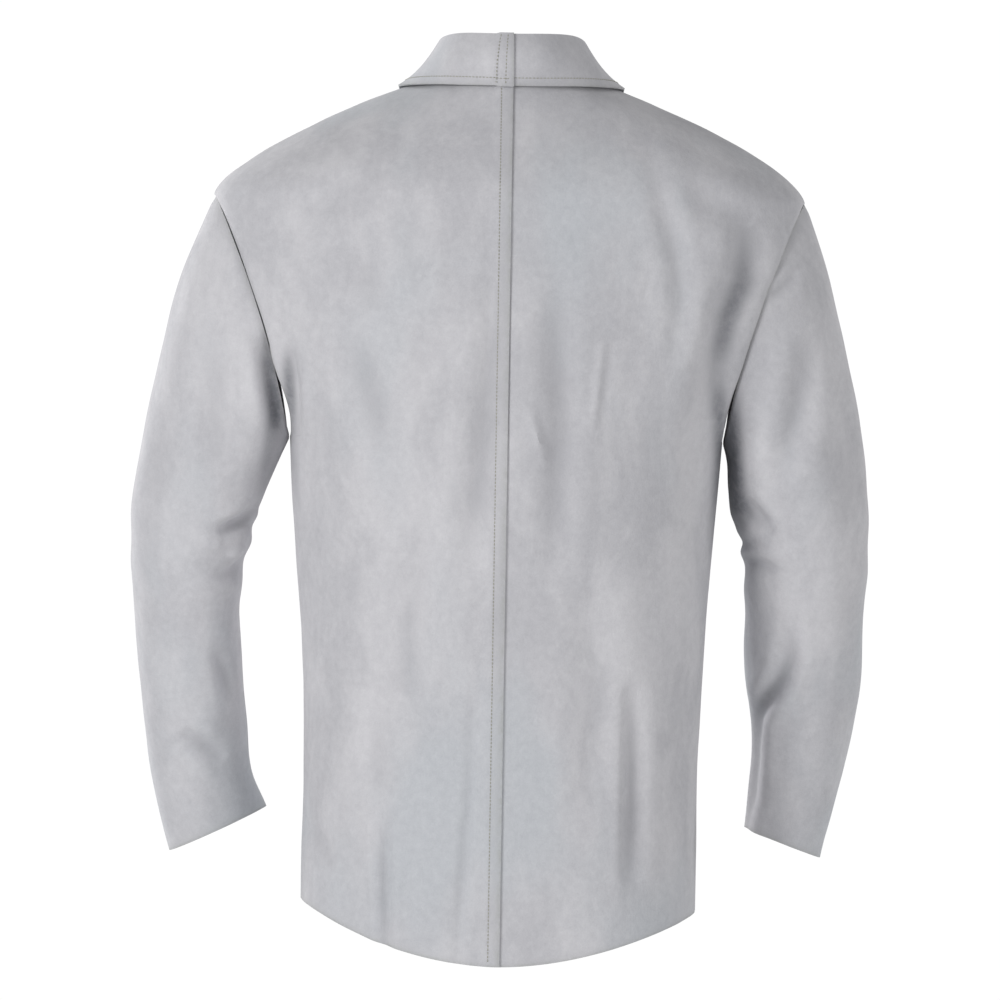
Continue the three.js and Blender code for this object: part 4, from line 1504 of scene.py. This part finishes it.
@dataclass
class Collar:
    """The stand and the two halves of the fall."""

    maker: Maker
    form: CollarForm
    lap_over: float = 1.2 * MM
    lap_under: float = 10.0 * MM
    back_part: float = 90.0
    stand_from: float = 0.03
    edge_stitch: float = 0.15
    seam_stitch: tuple[float, ...] = (8.5 * MM, 3.2 * MM)

    def build(self) -> None:
        """Makes the stand, the fall and the collar's stitching."""
        for side in Side:
            self.stand(side)
            self.fall(side)
        self.stitches()

    def stand(self, side: Side) -> None:
        """Makes one half of the stand."""
        maker, word = self.maker, side.word
        sign = -side.value

        def ends(v: Array) -> tuple[Array, Array]:
            """The two ends of one half of the stand, low first."""
            near, far = np.zeros(len(v)), np.full(len(v), 179.4)
            return (near, far) if sign > 0 else (-far, -near)

        plan = SheetPlan(np.linspace(self.stand_from, 1.0, 16), ends, 90, maker.leather)
        sheet = cut_sheet(f"collar_stand_{word}_half", self.form.stand(side), plan)
        maker.finishes.dress(sheet.piece, "inner", Slot.INNER)
        maker.front_blend(sheet.piece, side)
        nodes = [f"collar_stand_front_{side.word}"]
        if side is Side.LEFT:
            nodes.insert(0, "collar_stand")
        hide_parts(*nodes)
        sheet.declare("hung", [f"back_{word}_half"])

    def lift(self, turn: Array, up: Array) -> Array:
        """How far the left half of the fall stands up where it laps over the right one."""
        from_middle = self.form.fall().place(turn, up)[:, 0] - self.maker.body.middle[0]
        return (self.maker.leather + 0.1 * MM) * (1.0 - smooth(from_middle, 10 * MM, 14 * MM))

    def fall(self, side: Side) -> None:
        """Makes one half of the fall: a back that turns up and a part that goes with the front."""
        maker, word, form = self.maker, side.word, self.form
        sign = -side.value
        relief = Relief(maker.body, (), swell=0.5, ripple=0.25, seed=29.0)
        half = form.roll_half[0]
        start = -self.lap_over if side is Side.LEFT else -self.lap_under
        near_turn = math.degrees(start / half)
        rows = 1.0 - (1.0 - np.linspace(0.0, 1.0, 30)) ** 1.15

        def ordered(near: Array, far: Array) -> tuple[Array, Array]:
            """The two ends, low first, on either side."""
            return (near, far) if sign > 0 else (-far, -near)

        outer: float | Callable[[Array, Array], Array] = self.lift if side is Side.LEFT else 0.0
        back = cut_sheet(
            f"collar_{word}_back",
            form.fall(),
            SheetPlan(
                rows,
                lambda v: ordered(np.full(len(v), near_turn), np.full(len(v), self.back_part)),
                70, maker.leather, outer, relief, False, (sign > 0, sign < 0, True, False),
            ),
        )
        front = cut_sheet(
            f"collar_{word}_front",
            form.fall(),
            SheetPlan(
                rows,
                lambda v: ordered(np.full(len(v), self.back_part), form.point_end(v)),
                64, maker.leather, 0.0, relief, False, (sign < 0, sign > 0, True, False),
            ),
        )
        for sheet in (back, front):
            maker.finishes.dress(sheet.piece, "outer", Slot.OUTER)
        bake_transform(back.piece)
        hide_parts(f"collar_fall_{word}")
        maker.front_blend(front.piece, side, out=0.018)
        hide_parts(f"collar_side_{word}", f"collar_point_{word}")
        back.declare("folded", [f"collar_stand_{word}_half"])
        front.declare("folded", [f"collar_stand_{word}_half"])

    def stitches(self) -> None:
        """Sews the edge of the fall and its centre seam."""
        maker, form = self.maker, self.form
        surface = form.fall()
        mx, my = maker.body.middle
        relief = Relief(maker.body, (), swell=0.5, ripple=0.25, seed=29.0)
        for side in Side:
            sign = -side.value
            extra = maker.leather if side is Side.LEFT else 0.0
            for part, low, high in (("back", 1.0, self.back_part), ("front", self.back_part, 151.0)):
                turns = sign * np.linspace(low, high, 260)
                up = np.full(260, self.edge_stitch)
                from_middle = np.abs(surface.place(turns, up)[:, 0] - mx)
                lift = extra * (1.0 - smooth(from_middle, 10 * MM, 14 * MM))
                lifted = surface.lifted(
                    lambda u, v, turns=turns, lift=lift: np.interp(np.abs(u), np.abs(turns), lift)
                )
                row = maker.row_of_stitches(
                    f"collar_{side.word}_{part}_stitches", lifted, turns, up, 0.0, relief
                )
                if part == "back":
                    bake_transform(row)
                else:
                    maker.front_blend(row, side, out=0.018)
        up = np.linspace(0.05, 0.97, 80)
        for i, distance in enumerate(self.seam_stitch):
            turns = np.full(80, -math.degrees(distance / form.roll_half[0]))
            row = maker.row_of_stitches(
                f"collar_seam_stitches_{i + 1}", surface, turns, up, maker.leather, relief
            )
            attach(row, "collar_fall")


@dataclass
class Inside:
    """Neck tape, hanger loop, blank label and inside pocket."""

    maker: Maker
    tape: float = 0.9 * MM
    tape_half_width: float = 0.078
    tape_height: float = 0.018
    label_half_width: float = 0.030
    label_height: float = 0.038
    label_below: float = 0.008
    loop_half_width: float = 0.034
    loop_bow: float = 0.012
    loop_width: float = 0.008
    pocket_turns: tuple[float, float] = (103.0, 140.0)
    pocket_levels: tuple[float, float] = (0.190, 0.340)
    pocket_bulge: float = 0.010

    def build(self) -> None:
        """Makes the pieces inside the jacket."""
        maker, body = self.maker, self.maker.body
        surface = body.surface()
        top = body.back_length - maker.layer_gap
        low = top - self.tape_height
        back = Relief(body, BODY_FOLDS, seed=3.0)

        def strip(half: float) -> Callable[[Array], tuple[Array, Array]]:
            """Ends of a strip of a half width."""
            return lambda v: (-body.turn_at(half, v), body.turn_at(half, v))

        tape = cut_sheet(
            "neck_seam_tape", surface,
            SheetPlan(
                np.linspace(low, top, 8), strip(self.tape_half_width), 60, self.tape, maker.inside_face, back
            ),
        )
        self.finish(tape, "tape", Slot.TAPE, "neck_tape", ["back_left_half"])
        label_top = low - self.label_below
        label = cut_sheet(
            "plain_label", surface,
            SheetPlan(
                np.linspace(label_top - self.label_height, label_top, 14),
                strip(self.label_half_width), 24, self.tape, maker.inside_face, back,
            ),
        )
        self.finish(label, "label", Slot.LABEL, "blank_label", ["back_left_half"])
        middle = (low + top) / 2
        end_turn = float(body.turn_at(self.loop_half_width, np.array([middle]))[0])
        face = maker.inside_face - self.tape - maker.layer_gap
        bowed = surface.lifted(lambda u, v: face - self.loop_bow * (1.0 - (u / end_turn) ** 4))
        loop = cut_sheet(
            "hanging_loop", bowed,
            SheetPlan(
                np.linspace(middle - self.loop_width / 2, middle + self.loop_width / 2, 5),
                lambda v: (np.full(len(v), -end_turn), np.full(len(v), end_turn)), 60, self.tape, 0.0, back,
            ),
        )
        self.finish(loop, "tape", Slot.TAPE, "hanger_loop", ["neck_seam_tape"])
        (turn_low, turn_high), (level_low, level_high) = self.pocket_turns, self.pocket_levels

        def depth(turn: Array, level: Array) -> Array:
            """Offset of each point from the body."""
            across = 2.0 * (-turn - turn_low) / (turn_high - turn_low) - 1.0
            up = (level - level_low) / (level_high - level_low)
            return maker.inside_face - self.pocket_bulge * (1.0 - across**4) * (1.0 - (1.0 - up) ** 4)

        pocket = cut_sheet(
            "patch_pocket", surface.lifted(depth),
            SheetPlan(
                np.linspace(level_low, level_high, 40),
                lambda v: (np.full(len(v), -turn_high), np.full(len(v), -turn_low)), 40, maker.lining, 0.0,
                Relief(body, FRONT_FOLDS, swell=1.0, ripple=0.35, seed=11.0),
            ),
        )
        self.finish(pocket, "inner", Slot.INNER, "inside_pocket", ["left_front_leather"])

    def finish(self, sheet: Sheet, key: str, slot: Slot, node: str, rests_on: Sequence[str]) -> None:
        """Dresses a piece and fixes it to the body."""
        self.maker.finishes.dress(sheet.piece, key, slot)
        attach(sheet.piece, "torso")
        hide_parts(node)
        sheet.declare("laid" if node != "hanger_loop" else "hung", rests_on)


@dataclass
class Snaps:
    """The snap fasteners down the front. Profiles are (radius, height) in millimetres."""

    maker: Maker
    count: int = 5
    profiles: dict[str, tuple[tuple[float, float], ...]] = field(
        default_factory=lambda: {
            "cap": (
                (0, 0),
                (6.9, 0),
                (7.4, 0.25),
                (7.5, 0.7),
                (7.2, 1.1),
                (6.2, 1.3),
                (5.6, 1.15),
                (4.8, 1.5),
                (3.2, 1.95),
                (1.4, 2.18),
                (0, 2.2),
            ),
            "socket": (
                (3.3, 0),
                (5.6, 0),
                (6.0, 0.4),
                (6.0, 1.0),
                (5.2, 1.3),
                (4.8, 2.0),
                (3.7, 2.0),
                (3.3, 1.5),
                (3.3, 0),
            ),
            "stud": (
                (0, 0),
                (5.3, 0),
                (5.5, 0.3),
                (5.2, 0.7),
                (3.0, 0.8),
                (2.1, 1.1),
                (2.1, 1.5),
                (2.4, 1.8),
                (2.2, 2.15),
                (0, 2.2),
            ),
            "post": ((0, 0), (4.8, 0), (5.0, 0.3), (4.6, 0.7), (1.6, 0.8), (1.0, 0.45), (0, 0.4)),
        }
    )

    def build(self) -> None:
        """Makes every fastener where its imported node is."""
        for part, profile in self.profiles.items():
            for i in range(1, self.count + 1):
                self.fastener(part, i, profile)

    def fastener(self, part: str, number: int, profile: Sequence[tuple[float, float]]) -> None:
        """Makes one part of one fastener."""
        node = f"snap_{part}_{number}"
        corners = np.array(
            [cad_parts[node].matrix_world @ v.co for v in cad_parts[node].data.vertices]
        )
        centre = corners.mean(axis=0)
        _, _, axes = np.linalg.svd(corners - centre, full_matrices=False)
        out = Vector(axes[2])
        if out.y > 0:
            out = -out
        heights = (corners - centre) @ np.array(out)
        base = Vector(centre) + out * float(heights.min())
        flip = part == "post"
        if flip:
            base = Vector(centre) + out * float(heights.max())
            out = -out
        turn = Vector((0, 0, 1)).rotation_difference(out).to_matrix().to_4x4()
        piece = turned_part(f"{part}_{number}", profile, Matrix.Translation(base) @ turn)
        self.maker.finishes.dress(piece, "metal", Slot.METAL)
        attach(piece, "left_front" if part in ("cap", "socket") else "right_front")
        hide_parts(node)


# ---------- Studio ----------


@dataclass
class Studio:
    """Camera, soft lights, pale floor and a white surround."""

    distance: float = 9.0
    view_height: float = 0.860
    aim: tuple[float, float] = (0.0, 0.399)
    roll: float = 0.92
    elevation: float = 1.5
    floor_z: float = -0.55

    def build(self) -> None:
        """Sets up the studio."""
        self.camera()
        self.surround()
        self.floor()
        for name, place, power, size in (
            ("key_light", (2.3, 2.3, 1.1), 62.0, 1.4),
            ("fill_light", (-2.2, 2.3, 0.5), 32.0, 1.8),
            ("front_left_light", (2.3, -2.2, 1.3), 70.0, 1.4),
            ("front_right_light", (-1.9, -2.2, 1.0), 24.0, 1.8),
        ):
            self.light(name, place, power, size)
        bpy.context.scene.view_settings.view_transform = "Standard"

    def camera(self) -> None:
        """Stands the camera behind the jacket."""
        data = bpy.data.cameras.new("camera")
        back_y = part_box("back_panel_left")[1][1]
        data.sensor_width = 36.0
        data.lens = data.sensor_width * self.distance / self.view_height
        camera = bpy.data.objects.new("camera", data)
        bpy.context.scene.collection.objects.link(camera)
        tilt = math.radians(self.elevation)
        back = Vector((0.0, math.cos(tilt), math.sin(tilt)))
        camera.location = Vector((self.aim[0], back_y * 0.6, self.aim[1])) + back * self.distance
        look = (-back).to_track_quat("-Z", "Y")
        camera.rotation_mode = "QUATERNION"
        camera.rotation_quaternion = look @ Quaternion((0, 0, 1), math.radians(self.roll))
        bpy.context.scene.camera = camera

    def surround(self) -> None:
        """A white surround that lights the jacket more softly than it looks."""
        world = bpy.data.worlds.new("surround")
        bpy.context.scene.world = world
        world.use_nodes = True
        g = Graph(world.node_tree)
        seen = g.add("ShaderNodeLightPath").outputs["Is Camera Ray"]
        strength = g.math("ADD", g.math("MULTIPLY", seen, 0.72), 0.30)
        shader = g.add("ShaderNodeBackground", {"Color": (1.0, 1.0, 1.0, 1.0), "Strength": strength})
        g.add("ShaderNodeOutputWorld", {"Surface": shader.outputs[0]})

    def floor(self) -> None:
        """A pale floor that fades out into the surround."""
        bm = bmesh.new()
        bmesh.ops.create_circle(
            bm, cap_ends=True, segments=96, radius=3.0, matrix=Matrix.Translation((0, 0, self.floor_z))
        )
        floor = link(bm, "floor")
        material = bpy.data.materials.new("pale_floor")
        material.use_nodes = True
        g = Graph(material.node_tree)
        where = g.add("ShaderNodeTexCoord").outputs["Object"]
        away = g.add("ShaderNodeVectorMath", {0: where}, operation="LENGTH").outputs["Value"]
        fade = g.math("SUBTRACT", 1.0, g.ramp(away, 0.8, 2.7))
        shader = g.add(
            "ShaderNodeBsdfPrincipled",
            {"Base Color": (0.9, 0.9, 0.9, 1.0), "Roughness": 0.9, "Specular IOR Level": 0.0, "Alpha": fade},
        )
        g.add("ShaderNodeOutputMaterial", {"Surface": shader.outputs[0]})
        floor.data.materials.append(material)

    def light(self, name: str, place: tuple[float, float, float], power: float, size: float) -> None:
        """Adds one soft square light that faces the jacket."""
        data = bpy.data.lights.new(name, "AREA")
        data.energy, data.size = power, size
        lamp = bpy.data.objects.new(name, data)
        bpy.context.scene.collection.objects.link(lamp)
        lamp.location = place
        lamp.rotation_mode = "QUATERNION"
        lamp.rotation_quaternion = (Vector((0, 0, 0.4)) - Vector(place)).to_track_quat("-Z", "Y")


LEFT_RINGS = (
    Ring(147, 239, 3, 44.5, 62, 79),
    Ring(191, 252, 8, 48, 60, 57),
    Ring(233, 262, 14, 51.5, 58, 33),
    Ring(272, 270, 22, 54, 56, 11),
    Ring(313, 274, 30, 50, 53, 0),
    Ring(358, 275.5, 42, 46, 50, 0),
    Ring(408, 273, 56, 45.5, 49, 0),
    Ring(458, 268, 70, 45, 47, -2),
    Ring(508, 261, 84, 43, 45, -8),
    Ring(555, 246.5, 96, 42, 43, -20),
)
RIGHT_RINGS = (
    Ring(147, 235, 3, 44, 62, 79),
    Ring(191, 244, 8, 52, 61, 57),
    Ring(235, 252, 14, 57, 60, 36),
    Ring(275, 259, 22, 56, 58, 16),
    Ring(313, 261.5, 30, 54.5, 55, 0),
    Ring(358, 262.5, 42, 52, 53, 0),
    Ring(408, 263, 56, 50.5, 51, 0),
    Ring(458, 263, 70, 43.5, 47, -2),
    Ring(508, 257, 84, 39, 43, -5),
    Ring(560, 248.5, 98, 34, 38, -13),
)


def main() -> None:
    """Builds the jacket piece by piece."""
    body = BodyForm()
    maker = Maker(body, Finishes().build())
    steps: list[tuple[str, Any]] = [
        ("studio", Studio()),
        ("back", BackPanels(maker)),
        ("fronts", Fronts(maker)),
        (
            "left sleeve",
            Sleeve(
                maker, SleeveForm(Side.LEFT, body, LEFT_RINGS), LEFT_SLEEVE_FOLDS, LEFT_SLEEVE_PAINTED_SHADOWS, 41.0
            ),
        ),
        (
            "right sleeve",
            Sleeve(
                maker,
                SleeveForm(Side.RIGHT, body, RIGHT_RINGS),
                RIGHT_SLEEVE_FOLDS,
                RIGHT_SLEEVE_PAINTED_SHADOWS,
                57.0,
            ),
        ),
        ("collar", Collar(maker, CollarForm(body))),
        ("inside", Inside(maker)),
        ("snap fasteners", Snaps(maker)),
    ]
    for name, step in steps:
        step.build()
        log.info("built the %s", name)


if __name__ == "__main__":
    logging.basicConfig(level=logging.INFO, format="%(name)s: %(message)s")
    main()
